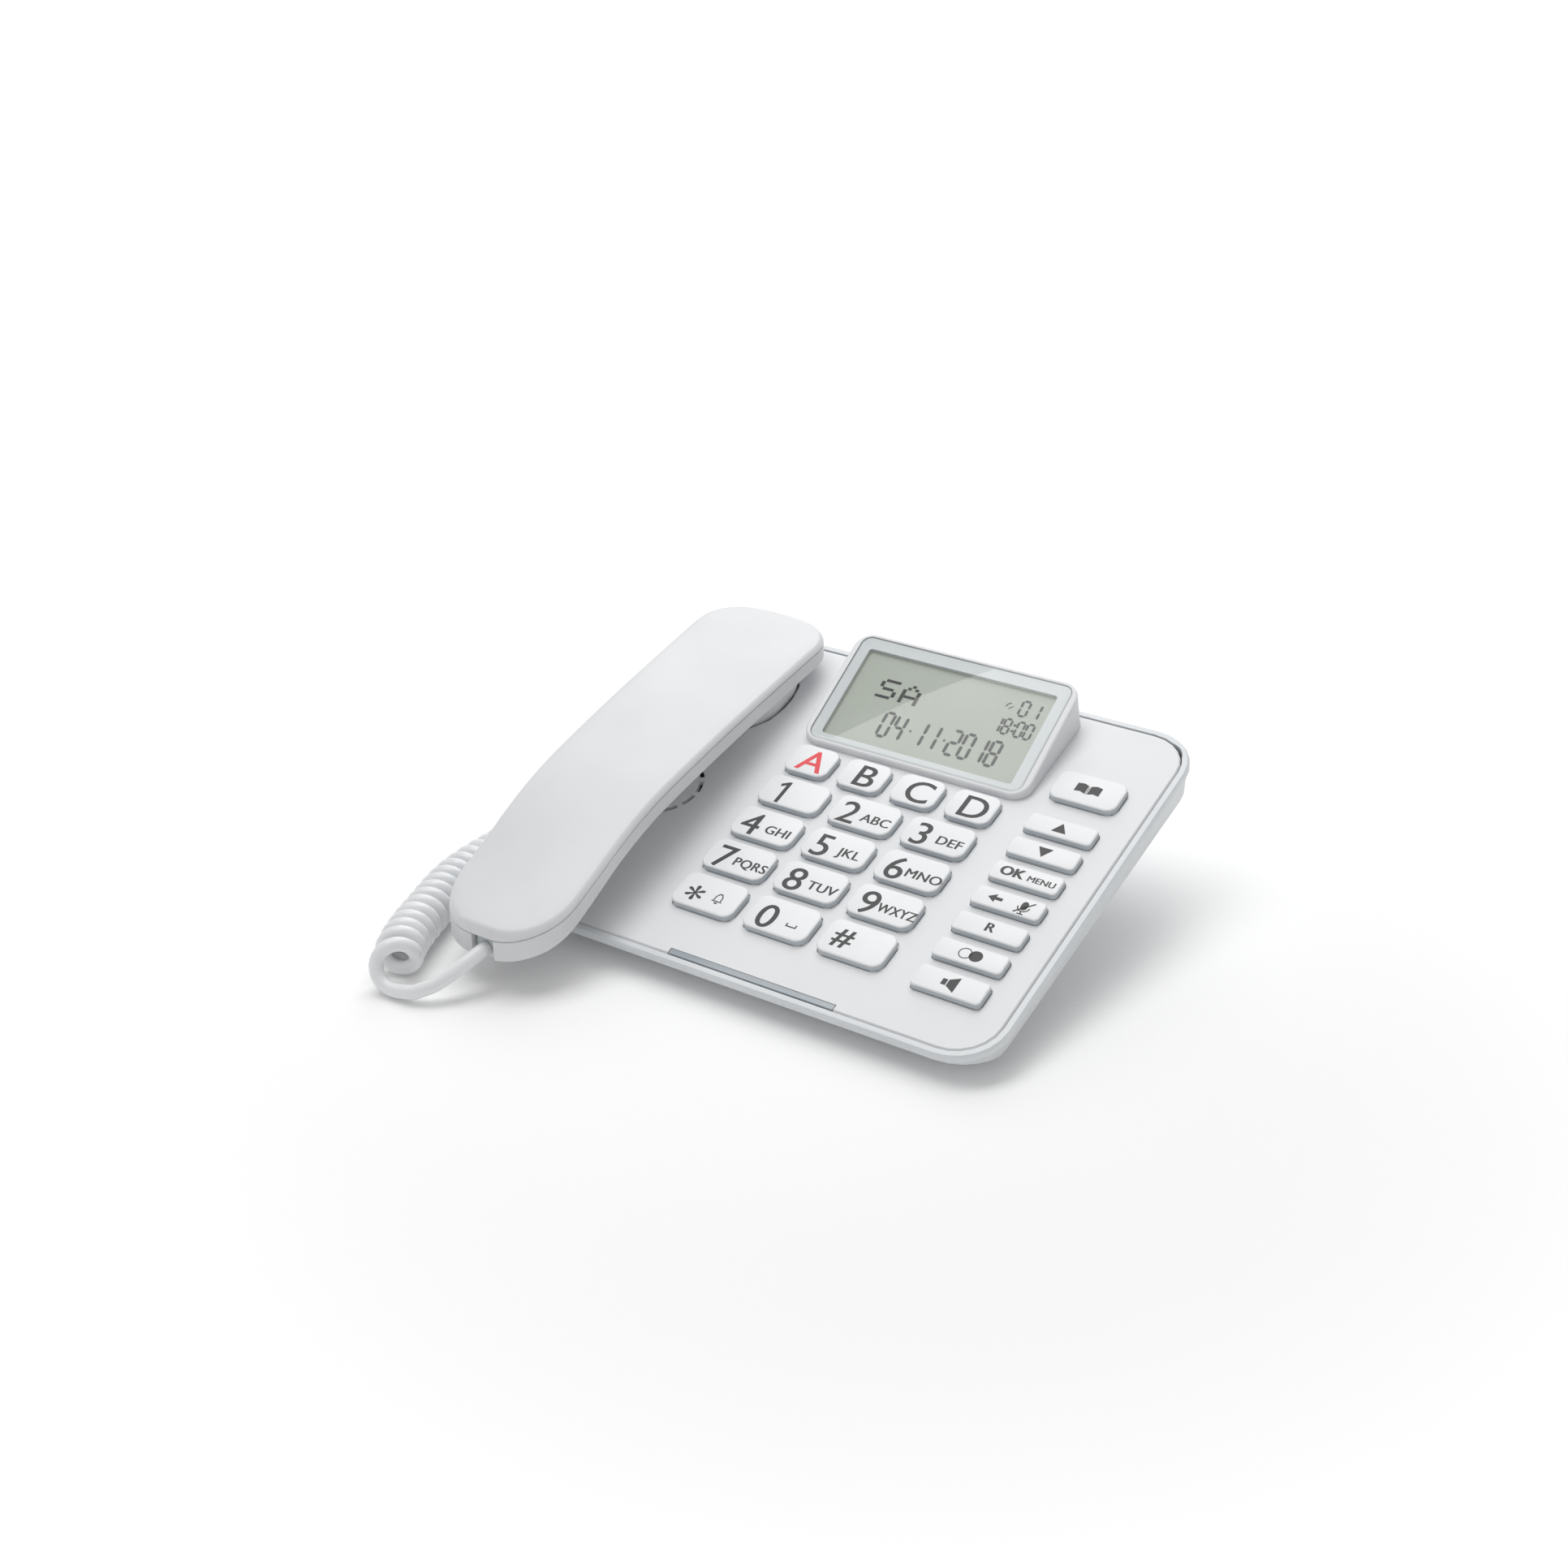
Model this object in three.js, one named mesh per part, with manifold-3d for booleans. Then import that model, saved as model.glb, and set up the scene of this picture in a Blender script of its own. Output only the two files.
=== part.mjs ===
// Corded desk telephone with big keys, a tilted display and a curly handset cord.
// Millimetres, +Z up. The user stands at -Y, the handset lies along Y on the left (-X).
import * as THREE from 'three';
import Module from 'manifold-3d';

const wasm = await Module();
wasm.setup();

// ---- driving dimensions ----
const DECK_TILT = 16;          // slope of the key deck, degrees
const DECK_HEIGHT = 33;        // deck height above the table at the "1" key
const BASE_LEFT = -81;         // base outline across X, from the "1" key
const BASE_RIGHT = 120;
const BASE_FRONT = -85;        // base outline along the deck slope
const BASE_BACK = 80;
const CORNER_R = 18;           // plan radius of the base corners
const RIM_W = 2.6;             // width of the rim round the face
const GROOVE = 0.5;            // gap between face panel and rim
const PANEL_T = 2.0;           // face panel thickness
const WALL = 2.2;              // shell wall thickness
const CHIN_DEPTH = 3.8;        // shell depth at the very front edge
const SLAB_FRONT = 8.2;        // shell depth at the front, behind the chin
const SLAB_BACK = 13.4;        // shell depth at the back
const CHIN_LEN = 14;           // length of the sloping chin under the front edge
const SLOT_GAP = 0.35;         // gap round a key cap
const KEY_RISE = 2.4;          // key cap height above the face
const KEY_TRAVEL = 1.0;        // key stroke
const PITCH_X = 28.8;          // digit key column pitch
const PITCH_Y = 18;            // digit key row pitch
const KEY_W = 24.8;            // digit key width
const KEY_H = 14.5;            // digit key height
const KEY_R = 3.8;             // digit key corner radius
const LAST_ROW = -54.6;        // centre of the bottom digit row
const LETTER_PITCH = 21.6;     // memory key pitch
const LETTER_W = 17.6;         // memory key width
const SIDE_X = 94.3;           // centre of the function key column
const SIDE_W = 25.2;           // function key width
const SIDE_H = 8.5;            // narrow function key height
const HOOD_L = -14.9;          // display hood footprint
const HOOD_R = 76;
const HOOD_F = 27.6;
const HOOD_B = 76.4;
const HOOD_LOW = 2.9;          // hood height at its front edge
const HOOD_SLOPE = 14.6;       // hood slope against the deck, degrees
const LENS_T = 1.0;            // display lens thickness
const HS_X = -52.5;            // handset centre line
const HS_HALF = 27;            // half width of the handset
const HS_TAPER = 7.6;           // the handset is this much narrower at its near end
const HS_NEAR = -115;          // near (mouthpiece) end
const HS_FAR = 70.4;           // far (earpiece) end
const HS_NEAR_R = 22;          // plan corner radius, near end
const HS_FAR_R = 15;           // plan corner radius, far end
const HS_BEVEL = 2.4;          // bevel between top face and side
const HS_CROWN = 1.4;          // crown across the top face
const HS_WALL = 2.2;           // handset wall thickness
const SEAM = 0.3;              // gap at the handset parting line
const FIT = 0.3;               // clearance between parts that meet
const CORD_D = 5;              // cord thickness
const COIL_D = 17;             // outer diameter of the curly part

const WHITE = new THREE.MeshStandardMaterial({ name: 'case_white', color: 0xeeeeee, roughness: 0.6 });
const HANDSET = new THREE.MeshStandardMaterial({ name: 'handset_white', color: 0xe9e9e9, roughness: 0.55 });
const SHELL = new THREE.MeshStandardMaterial({ name: 'shell_white', color: 0xdfe1e2, roughness: 0.6 });
const KEYCAP = new THREE.MeshStandardMaterial({ name: 'key_white', color: 0xf2f2f2, roughness: 0.5 });
const LENS = new THREE.MeshStandardMaterial({ name: 'lens_clear', color: 0xe8ecec, roughness: 0.05 });
const LCD = new THREE.MeshStandardMaterial({ name: 'lcd_grey', color: 0xc3c8bf, roughness: 0.3 });
const SMOKE = new THREE.MeshStandardMaterial({ name: 'light_bar_grey', color: 0x9aa0a4, roughness: 0.3 });
const RUBBER = new THREE.MeshStandardMaterial({ name: 'rubber_dark', color: 0x2a2a2a, roughness: 0.9 });
const SILICONE = new THREE.MeshStandardMaterial({ name: 'silicone_grey', color: 0xb9bcbe, roughness: 0.8 });
const BOARD = new THREE.MeshStandardMaterial({ name: 'board_green', color: 0x2f6b45, roughness: 0.5 });
const STEEL = new THREE.MeshStandardMaterial({ name: 'steel_plain', color: 0xaeb2b5, roughness: 0.35, metalness: 1 });
const BLACK = new THREE.MeshStandardMaterial({ name: 'driver_black', color: 0x26282a, roughness: 0.6 });
const SOCKET = new THREE.MeshStandardMaterial({ name: 'socket_grey', color: 0x4a4d50, roughness: 0.5 });
const PLUG = new THREE.MeshStandardMaterial({ name: 'plug_clear', color: 0xdde2e4, roughness: 0.15 });
const CORD = new THREE.MeshStandardMaterial({ name: 'cord_white', color: 0xf0f0f0, roughness: 0.3 });

// ---- mesh helpers: a mesh is {v: [[x,y,z]...], t: [[a,b,c]...]} ----
const rad = (deg) => deg * Math.PI / 180;
const TAN = Math.tan(rad(DECK_TILT));
const COS = Math.cos(rad(DECK_TILT));
const SIN = Math.sin(rad(DECK_TILT));

// deck coordinates: u across, v up the slope, w out of the face
const onDeck = ([u, v, w]) => [u, v * COS - w * SIN, DECK_HEIGHT + v * SIN + w * COS];
const deckZ = (y) => DECK_HEIGHT + y * TAN;

function roundRect(x0, x1, y0, y1, r, n = 4) {
  const out = [];
  const centres = [[x1 - r, y1 - r, 0], [x0 + r, y1 - r, 90], [x0 + r, y0 + r, 180], [x1 - r, y0 + r, 270]];
  for (const [cx, cy, a0] of centres) {
    for (let i = 0; i <= n; i++) {
      const a = rad(a0 + 90 * i / n);
      out.push([cx + r * Math.cos(a), cy + r * Math.sin(a)]);
    }
  }
  return out;
}

const circle = (cx, cy, r, n = 24) => Array.from({ length: n }, (_, i) => {
  const a = 2 * Math.PI * i / n;
  return [cx + r * Math.cos(a), cy + r * Math.sin(a)];
});

// closed solid from loops of equal length, lowest first; the loops run anticlockwise from above
function loft(loops) {
  const n = loops[0].length;
  const v = loops.flat();
  const t = [];
  for (let k = 0; k + 1 < loops.length; k++) {
    for (let i = 0; i < n; i++) {
      const j = (i + 1) % n;
      const a = k * n + i;
      const b = k * n + j;
      t.push([a, b, b + n], [a, b + n, a + n]);
    }
  }
  const top = (loops.length - 1) * n;
  for (let i = 1; i + 1 < n; i++) {
    t.push([0, i + 1, i], [top, top + i, top + i + 1]);
  }
  return { v, t };
}

// levels: [inset, w] or [inset, function of v], in deck coordinates
function deckLoft(rect, r, levels, n = 4) {
  const [u0, u1, v0, v1] = rect;
  return loft(levels.map(([inset, w]) => {
    const ring = roundRect(u0 + inset, u1 - inset, v0 + inset, v1 - inset, Math.max(r - inset, 0.2), n);
    return ring.map(([u, v]) => onDeck([u, v, typeof w === 'function' ? w(v) : w]));
  }));
}

// straight prism on the deck from a plan outline
const deckPrism = (ring, w0, w1) => loft([w0, w1].map((w) => ring.map(([u, v]) => onDeck([u, v, w]))));

// upright prism in table coordinates; the top may follow a function of y
function prism(ring, z0, z1) {
  const at = (z, y) => (typeof z === 'function' ? z(y) : z);
  return loft([z0, z1].map((z) => ring.map(([x, y]) => [x, y, at(z, y)])));
}

function solid({ v, t }) {
  return new wasm.Manifold(new wasm.Mesh({
    numProp: 3,
    vertProperties: new Float32Array(v.flat()),
    triVerts: new Uint32Array(t.flat()),
  }));
}

const join = (...list) => list.map((m) => (m.v ? solid(m) : m)).reduce((a, b) => a.add(b));
const cut = (body, ...tools) => tools
  .map((m) => (m.v ? solid(m) : m))
  .reduce((a, b) => a.subtract(b), body.v ? solid(body) : body);

const nodes = [];
function put(name, shape, material, extra = {}) {
  let geometry;
  if (shape.isBufferGeometry) {
    geometry = shape;
  } else {
    const mesh = shape.v ? null : shape.getMesh();
    const pos = mesh ? mesh.vertProperties : new Float32Array(shape.v.flat());
    const idx = mesh ? mesh.triVerts : new Uint32Array(shape.t.flat());
    geometry = new THREE.BufferGeometry();
    geometry.setAttribute('position', new THREE.BufferAttribute(new Float32Array(pos), 3));
    geometry.setIndex(new THREE.BufferAttribute(new Uint32Array(idx), 1));
  }
  geometry.computeVertexNormals();
  const item = new THREE.Mesh(geometry, material);
  item.name = name;
  item.userData = extra;
  nodes.push(item);
  return item;
}

// ---- key table: name, centre u, centre v, width, height, corner radius ----
const letterV = PITCH_Y - 0.2;
const letterU = -3.4;
const digitRows = [['1', '2', '3'], ['4', '5', '6'], ['7', '8', '9'], ['star', '0', 'hash']];
const keys = [];
digitRows.forEach((row, i) => row.forEach((label, j) => {
  const last = i === 3;
  keys.push([`key_${label}`, j * PITCH_X, last ? LAST_ROW : -i * PITCH_Y, KEY_W, last ? KEY_H + 0.9 : KEY_H, KEY_R]);
}));
['a', 'b', 'c', 'd'].forEach((label, i) => {
  keys.push([`key_${label}`, letterU + i * LETTER_PITCH, letterV, LETTER_W, KEY_H, KEY_R]);
});
keys.push(['key_book', SIDE_X, 40, SIDE_W, KEY_H, KEY_R]);
const sideRows = { up: 19.1, down: 6.5, ok: -6.2, back_mute: -19, recall: -32, redial: -45 };
for (const [label, v] of Object.entries(sideRows)) {
  keys.push([`key_${label}`, SIDE_X, v, SIDE_W, SIDE_H, 1.7]);
}
keys.push(['key_speaker', SIDE_X, -58.6, SIDE_W, SIDE_H + 1.3, 1.7]);

const FLANGE = 1.0;            // key flange under the face
const flangeTop = -PANEL_T - FIT;
const flangeT = 0.9;
const matTop = flangeTop - flangeT - KEY_TRAVEL - FIT / 3;
const MAT_T = 0.8;             // rubber mat thickness
const BOARD_T = 1.2;           // circuit board thickness
const boardTop = matTop - MAT_T - 0.1;

for (const [name, u, v, w, h, r] of keys) {
  const rect = [u - w / 2, u + w / 2, v - h / 2, v + h / 2];
  const cap = deckLoft(rect, r, [
    [-FLANGE, flangeTop - flangeT],
    [-FLANGE, flangeTop],
    [0, flangeTop],
    [0, 0.2],
    [0.7, KEY_RISE - 0.5],
    [1.4, KEY_RISE],
  ], 2);
  put(name, cap, KEYCAP);
}

// ---- display hood and face panel ----
const panelEdge = RIM_W + GROOVE;
const panelRect = [BASE_LEFT + panelEdge, BASE_RIGHT - panelEdge, BASE_FRONT + panelEdge, BASE_BACK - panelEdge];
const panelR = CORNER_R - panelEdge;
const hoodRect = [HOOD_L, HOOD_R, HOOD_F, HOOD_B];
const hoodTop = (v) => HOOD_LOW + (v - HOOD_F) * Math.tan(rad(HOOD_SLOPE));
const lensRect = [HOOD_L + 3.9, HOOD_R - 5.2, HOOD_F + 1.9, HOOD_B - 1.9];
const LENS_BORDER = 4.2;       // border of the lens outside the window
const windowRect = [
  lensRect[0] + LENS_BORDER - 1,
  lensRect[1] - LENS_BORDER + 1,
  lensRect[2] + LENS_BORDER,
  lensRect[3] - LENS_BORDER,
];
const FRAME_T = 1.0;           // frame under the lens
const lensPocket = LENS_T + 0.15;
const HOOD_WALL = 1.7;         // wall of the spigot that locates the hood in the panel
const HOOD_STEP = 2.9;         // inset of the spigot from the hood's outside
const hoodOuter = deckLoft(hoodRect, 7, [
  [HOOD_STEP, -PANEL_T - 0.8],
  [HOOD_STEP, FIT],
  [0, FIT],
  [0.6, (v) => hoodTop(v) - 1.2],
  [1.6, hoodTop],
]);
const hoodCavity = deckLoft(hoodRect, 6, [
  [HOOD_STEP + HOOD_WALL, -PANEL_T - 2],
  [HOOD_STEP + HOOD_WALL, (v) => hoodTop(v) - lensPocket - FRAME_T],
]);
const hoodOpening = deckLoft(hoodRect, 7, [
  [HOOD_STEP - FIT, -PANEL_T - 1],
  [HOOD_STEP - FIT, 1],
]);
const pocket = deckLoft(lensRect, 4, [
  [0, (v) => hoodTop(v) - lensPocket],
  [0, (v) => hoodTop(v) + 2],
]);
const windowHole = deckLoft(windowRect, 1.5, [
  [0, (v) => hoodTop(v) - lensPocket - FRAME_T - 1],
  [0, (v) => hoodTop(v) + 1],
], 2);

// handset resting places on the face
const CUP_DEPTH = 3.0;         // depth of the earpiece cup
const CUP_FLOOR_T = 2.0;       // panel thickness under the cup
const EAR_FRONT = 22;          // earpiece pad, along the slope
const EAR_BACK = 66;
const EAR_HALF = 21.5;          // half width of the pad
const EAR_R = 19;              // corner radius of the pad
const cupRect = [HS_X - EAR_HALF - 1, HS_X + EAR_HALF + 1, EAR_FRONT - 1, EAR_BACK + 1];
const cupCentreV = (EAR_FRONT + EAR_BACK) / 2;
const cupBlockRect = [cupRect[0] - 1.2, cupRect[1] + 1.2, cupRect[2] - 1.2, cupRect[3] + 1.2];
const cupBlock = deckLoft(cupBlockRect, EAR_R + 3, [[1, -CUP_DEPTH - CUP_FLOOR_T], [0, -PANEL_T / 2]]);
const cup = deckLoft(cupRect, EAR_R + 1, [[1.4, -CUP_DEPTH], [0, -CUP_DEPTH + 1.4], [0, 1]]);
const hookV = cupCentreV - 13;
const HOOK_HALF = 4;           // hook plunger half width
const hookHole = deckPrism(
  roundRect(HS_X - HOOK_HALF - FIT, HS_X + HOOK_HALF + FIT, hookV - 3 - FIT, hookV + 3 + FIT, 1.5, 2),
  -CUP_DEPTH - CUP_FLOOR_T - 1,
  -CUP_DEPTH + 1,
);

// handset height as a function of y, at the edge of its top face (above the "1" key deck point)
const hsTopTable = [
  [-118, -12.8], [-112, -10.7], [-100, -6.9], [-90, -3.2], [-80, 1.1], [-70, 5.6], [-60, 9.6],
  [-47, 13.7], [-35, 16.4], [-22.8, 18.8], [2, 23.2], [28, 27.2], [50, 30.4], [74, 33.6],
];
function hsTop(y) {
  let i = 1;
  while (i < hsTopTable.length - 1 && hsTopTable[i][0] < y) i++;
  const [y0, z0] = hsTopTable[i - 1];
  const [y1, z1] = hsTopTable[i];
  return DECK_HEIGHT + z0 + (z1 - z0) * (y - y0) / (y1 - y0);
}
const SIDE_MID = 5.2;          // lower shell side height along the handle
const SIDE_NEAR = 7.2;         // and at the mouthpiece end
const BELLY = 3.0;             // belly of the handle under the side edge
const sideH = (y) => SIDE_MID + (SIDE_NEAR - SIDE_MID) * Math.min(1, Math.max(0, (-70 - y) / 35));
const hsSeam = (y) => hsTop(y) - 2.3;
const hsLow = (y) => hsSeam(y) - sideH(y);
const hsBelly = (y) => hsLow(y) - BELLY;

const REST_V = -64;            // mouthpiece rest on the face
const REST_L = BASE_LEFT + panelEdge + 3;
const REST_R = HS_X + 4;
const restRing = roundRect(REST_L, REST_R, REST_V - 6, REST_V + 6, 3, 3).map(([u, v]) => [u, v * COS]);
const rest = prism(restRing, (y) => deckZ(y) - 1, (y) => hsBelly(y) - FIT);

// loudspeaker slots: broken ring of arcs
const SPK_V = -11.4;
const SPK_U = HS_X + 2.8;
const SPK_R = 15.6;            // outer radius of the slot ring
const SPK_SLOTS = 12;
const arcRing = (k) => {
  const out = [];
  const a0 = 360 / SPK_SLOTS * k + 4;
  const span = 360 / SPK_SLOTS - 8;
  for (let i = 0; i <= 3; i++) out.push([SPK_R, a0 + span * i / 3]);
  for (let i = 3; i >= 0; i--) out.push([SPK_R - 1.6, a0 + span * i / 3]);
  return out.map(([r, a]) => [SPK_U + r * Math.cos(rad(a)), SPK_V + r * Math.sin(rad(a))]);
};
const slots = Array.from({ length: SPK_SLOTS }, (_, k) => deckPrism(arcRing(k), -PANEL_T - 1, 1));

const STRIP_L = 0.5;           // light bar in the front edge
const STRIP_R = 64.2;
const STRIP_D = 2.4;
const stripFront = panelRect[2];
const stripNotch = deckPrism([
  [STRIP_L - FIT / 2, stripFront - 1],
  [STRIP_R + FIT / 2, stripFront - 1],
  [STRIP_R + FIT / 2, stripFront + STRIP_D + FIT / 2],
  [STRIP_L - FIT / 2, stripFront + STRIP_D + FIT / 2],
], -PANEL_T - 1, 1);

const SCREW_AT = [
  [BASE_LEFT + 12, BASE_FRONT + 17.4],
  [BASE_RIGHT - 11, BASE_FRONT + 17.4],
  [BASE_RIGHT - 12, BASE_BACK - 12],
  [HOOD_L - 8, BASE_BACK - 8],
];
const SCREW_R = 1.25;
const padDepth = 3.9;
const pads = SCREW_AT.map(([u, v]) => deckPrism(circle(u, v, 3.2, 16), -padDepth, -PANEL_T / 2));
const pilots = SCREW_AT.map(([u, v]) => deckPrism(circle(u, v, SCREW_R + 0.12, 12), -padDepth - 1, -0.9));

const keyHoles = keys.map(([, u, v, w, h, r]) => deckPrism(
  roundRect(u - w / 2 - SLOT_GAP, u + w / 2 + SLOT_GAP, v - h / 2 - SLOT_GAP, v + h / 2 + SLOT_GAP, r + SLOT_GAP, 2),
  -PANEL_T - 1,
  1,
));
const panelPlate = deckLoft(panelRect, panelR, [[0, -PANEL_T], [0, -0.5], [0.5, 0]], 6);
const facePanel = cut(
  join(panelPlate, cupBlock, rest, ...pads),
  cup,
  hookHole,
  hoodOpening,
  stripNotch,
  ...pilots,
  ...slots,
  ...keyHoles,
);
put('face_panel', facePanel, WHITE);
put('display_hood', cut(hoodOuter, hoodCavity, pocket, windowHole), WHITE);

put('light_bar', deckLoft([STRIP_L, STRIP_R, stripFront + 0.05, stripFront + STRIP_D], 0.4, [
  [0, -PANEL_T],
  [0, -0.3],
  [0.3, 0.05],
], 2), SMOKE);

put('display_lens', deckLoft(lensRect, 3.7, [
  [0.25, (v) => hoodTop(v) - LENS_T - 0.05],
  [0.25, (v) => hoodTop(v) - 0.3],
  [0.5, (v) => hoodTop(v) - 0.05],
]), LENS);

const lcdTop = (v) => hoodTop(v) - lensPocket - FRAME_T - 0.1;
put('lcd_module', deckLoft([windowRect[0] - 1, windowRect[1] + 1, windowRect[2] - 1, windowRect[3] + 1], 0.5, [
  [0, (v) => lcdTop(v) - 3],
  [0, lcdTop],
], 1), LCD);

// ---- lower shell ----
const slabBottom = (v) => -SLAB_FRONT - (SLAB_BACK - SLAB_FRONT) * (v - BASE_FRONT) / (BASE_BACK - BASE_FRONT);
const chinEnd = BASE_FRONT + CHIN_LEN;
const chin = loft([BASE_LEFT - 1, BASE_RIGHT + 1].map((u) => [
  onDeck([u, BASE_FRONT - 1, -CHIN_DEPTH]),
  onDeck([u, BASE_FRONT, -CHIN_DEPTH]),
  onDeck([u, chinEnd, slabBottom(chinEnd)]),
  onDeck([u, chinEnd, -30]),
  onDeck([u, BASE_FRONT - 1, -30]),
].reverse()));
const baseRect = [BASE_LEFT, BASE_RIGHT, BASE_FRONT, BASE_BACK];
const BAND = 3.0;              // height of the upper side band
const slab = deckLoft(baseRect, CORNER_R, [
  [2.2, slabBottom],
  [1.1, -BAND - 0.4],
  [0.3, -BAND],
  [0, -BAND + 0.5],
  [0, -0.7],
  [0.7, 0],
], 6);
// the wall thickness below the ledge
const ledge = RIM_W + 1.8;
const roomA = deckLoft(baseRect, CORNER_R, [[RIM_W, -PANEL_T - FIT], [RIM_W, 1]], 6);
const roomB = deckLoft([BASE_LEFT, BASE_RIGHT, BASE_FRONT + 9, BASE_BACK], CORNER_R - 6, [
  [ledge, (v) => slabBottom(v) + 2],
  [ledge, 1],
], 6);

// stand block under the shell, inset from the sides
const STAND_FRONT = -60;
const STAND_BACK = 64;
const STAND_LEFT = -48;
const STAND_RIGHT = 98;
const STAND_TAPER = 20;
const FOOT_H = 2.0;
const standRing = (e) => [
  [STAND_LEFT + e, STAND_FRONT + e],
  [STAND_RIGHT - e, STAND_FRONT + e],
  [STAND_RIGHT - STAND_TAPER - e, STAND_BACK - e],
  [STAND_LEFT + e, STAND_BACK - e],
];
const slabMid = (y) => deckZ(y) - 7.2;
const standOuter = prism(standRing(0), FOOT_H, slabMid);
const standInner = prism(standRing(WALL), FOOT_H + WALL, (y) => deckZ(y) - 4);

// feet, jacks and screws in the lower shell
const FEET = [
  [STAND_LEFT + 12, STAND_FRONT + 12],
  [STAND_RIGHT - 14, STAND_FRONT + 12],
  [STAND_RIGHT - STAND_TAPER - 12, STAND_BACK - 12],
  [STAND_LEFT + 12, STAND_BACK - 12],
];
const FOOT_R = 6.5;
const footPockets = FEET.map(([x, y]) => prism(circle(x, y, FOOT_R + FIT, 16), FOOT_H - 1, FOOT_H + 0.8));
const JACK_Y = 24;             // handset cord jack in the left wall of the stand
const JACK_Z = 11;
const JACK_W = 10;
const JACK_H = 8.6;
const jackHole = prism(
  roundRect(STAND_LEFT - 1, STAND_LEFT + WALL + 1, JACK_Y - JACK_W / 2, JACK_Y + JACK_W / 2, 0.3, 1),
  JACK_Z - JACK_H / 2,
  JACK_Z + JACK_H / 2,
);
const LINE_X = 18;             // line jack in the back wall of the stand
const LINE_W = 12;
const lineHole = prism(
  roundRect(LINE_X - LINE_W / 2, LINE_X + LINE_W / 2, STAND_BACK - WALL - 1, STAND_BACK + 1, 0.3, 1),
  JACK_Z - JACK_H / 2,
  JACK_Z + JACK_H / 2,
);
const bossTop = -padDepth - FIT;
const bosses = SCREW_AT.map(([u, v]) => deckPrism(circle(u, v, 3.4, 16), slabBottom(v) + 1, bossTop));
const screwBores = SCREW_AT.map(([u, v]) => deckPrism(circle(u, v, SCREW_R + 0.3, 12), -30, 0));
const headFloor = SCREW_AT.map(([, v]) => slabBottom(v) + 1.9);
const headBores = SCREW_AT.map(([u, v], i) => deckPrism(circle(u, v, 2.9, 16), -30, headFloor[i]));

const lowerShell = cut(
  join(cut(join(slab, standOuter), roomA, roomB, standInner), ...bosses),
  chin,
  jackHole,
  lineHole,
  ...footPockets,
  ...screwBores,
  ...headBores,
);
put('lower_shell', lowerShell, SHELL);

SCREW_AT.forEach(([u, v], i) => {
  const ring = (r, w) => circle(u, v, r, 8).map(([a, b]) => onDeck([a, b, w]));
  const head = headFloor[i] - 0.1;
  put(`case_screw_${i + 1}`, loft([
    ring(2.0, head - 1.5),
    ring(2.4, head - 1.1),
    ring(2.4, head),
    ring(SCREW_R, head),
    ring(SCREW_R, -1.6),
    ring(0.6, -1.1),
  ]), STEEL);
});

FEET.forEach(([x, y], i) => {
  const ring = (r, z) => circle(x, y, r, 16).map(([a, b]) => [a, b, z]);
  put(`foot_${i + 1}`, loft([
    ring(FOOT_R - 0.8, 0),
    ring(FOOT_R, 0.8),
    ring(FOOT_R, FOOT_H + 0.8 - 0.1),
  ]), RUBBER);
});

// ---- inner parts of the base ----
const wide = [-16, 109, -64, 26];
const tall = [79.5, 109, 20, 50];
const plate = (rect, inset, w0, w1) => deckLoft(rect, 2, [[inset, w0], [inset, w1]], 1);
const MAT_IN = 0.6;
put('keypad_mat', join(
  plate(wide, MAT_IN, matTop - MAT_T, matTop),
  plate(tall, MAT_IN, matTop - MAT_T, matTop),
), SILICONE);
put('main_board', join(
  plate(wide, 0, boardTop - BOARD_T, boardTop),
  plate(tall, 0, boardTop - BOARD_T, boardTop),
), BOARD);

const SPK_BODY_R = 18;
const spk = (r, w) => circle(SPK_U, SPK_V, r, 32).map(([a, b]) => onDeck([a, b, w]));
put('loudspeaker', loft([
  spk(8, -PANEL_T - 6),
  spk(9, -PANEL_T - 5.6),
  spk(9, -PANEL_T - 3),
  spk(SPK_BODY_R, -PANEL_T - 1.6),
  spk(SPK_BODY_R, -PANEL_T - 0.3),
]), BLACK);

put('ballast_plate', prism(roundRect(0, 60, -20, 30, 3, 2), FOOT_H + WALL + 0.3, FOOT_H + WALL + 4.3), STEEL);

const hookTop = -CUP_DEPTH + 0.3;
const HOOK_TRAVEL = 3.4;
const hookSill = -CUP_DEPTH - CUP_FLOOR_T - HOOK_TRAVEL - 0.4;
put('hook_plunger', deckLoft([HS_X - HOOK_HALF, HS_X + HOOK_HALF, hookV - 3, hookV + 3], 1.2, [
  [-1.2, hookSill - 0.8],
  [-1.2, hookSill],
  [0, hookSill],
  [0, hookTop - 0.6],
  [0.6, hookTop],
], 2), KEYCAP);

// ---- handset: loops share the same stations along Y, so the arched faces can be ruled across ----
function handsetSide(inset) {
  const out = [];
  const half = HS_HALF - inset;
  const near = HS_NEAR + HS_NEAR_R;
  const far = HS_FAR - HS_FAR_R;
  for (let i = 0; i <= 6; i++) {
    const a = rad(-90 + 15 * i);
    const r = HS_NEAR_R - inset;
    out.push([half - r + r * Math.cos(a), near + r * Math.sin(a)]);
  }
  const straight = [-86, -78, -70, -62, -54, -44, -34, -22, -8, 8, 26, 42];
  for (const y of straight) out.push([half, y]);
  for (let i = 0; i <= 5; i++) {
    const a = rad(18 * i);
    const r = HS_FAR_R - inset;
    out.push([half - r + r * Math.cos(a), far + r * Math.sin(a)]);
  }
  return out;
}

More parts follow.
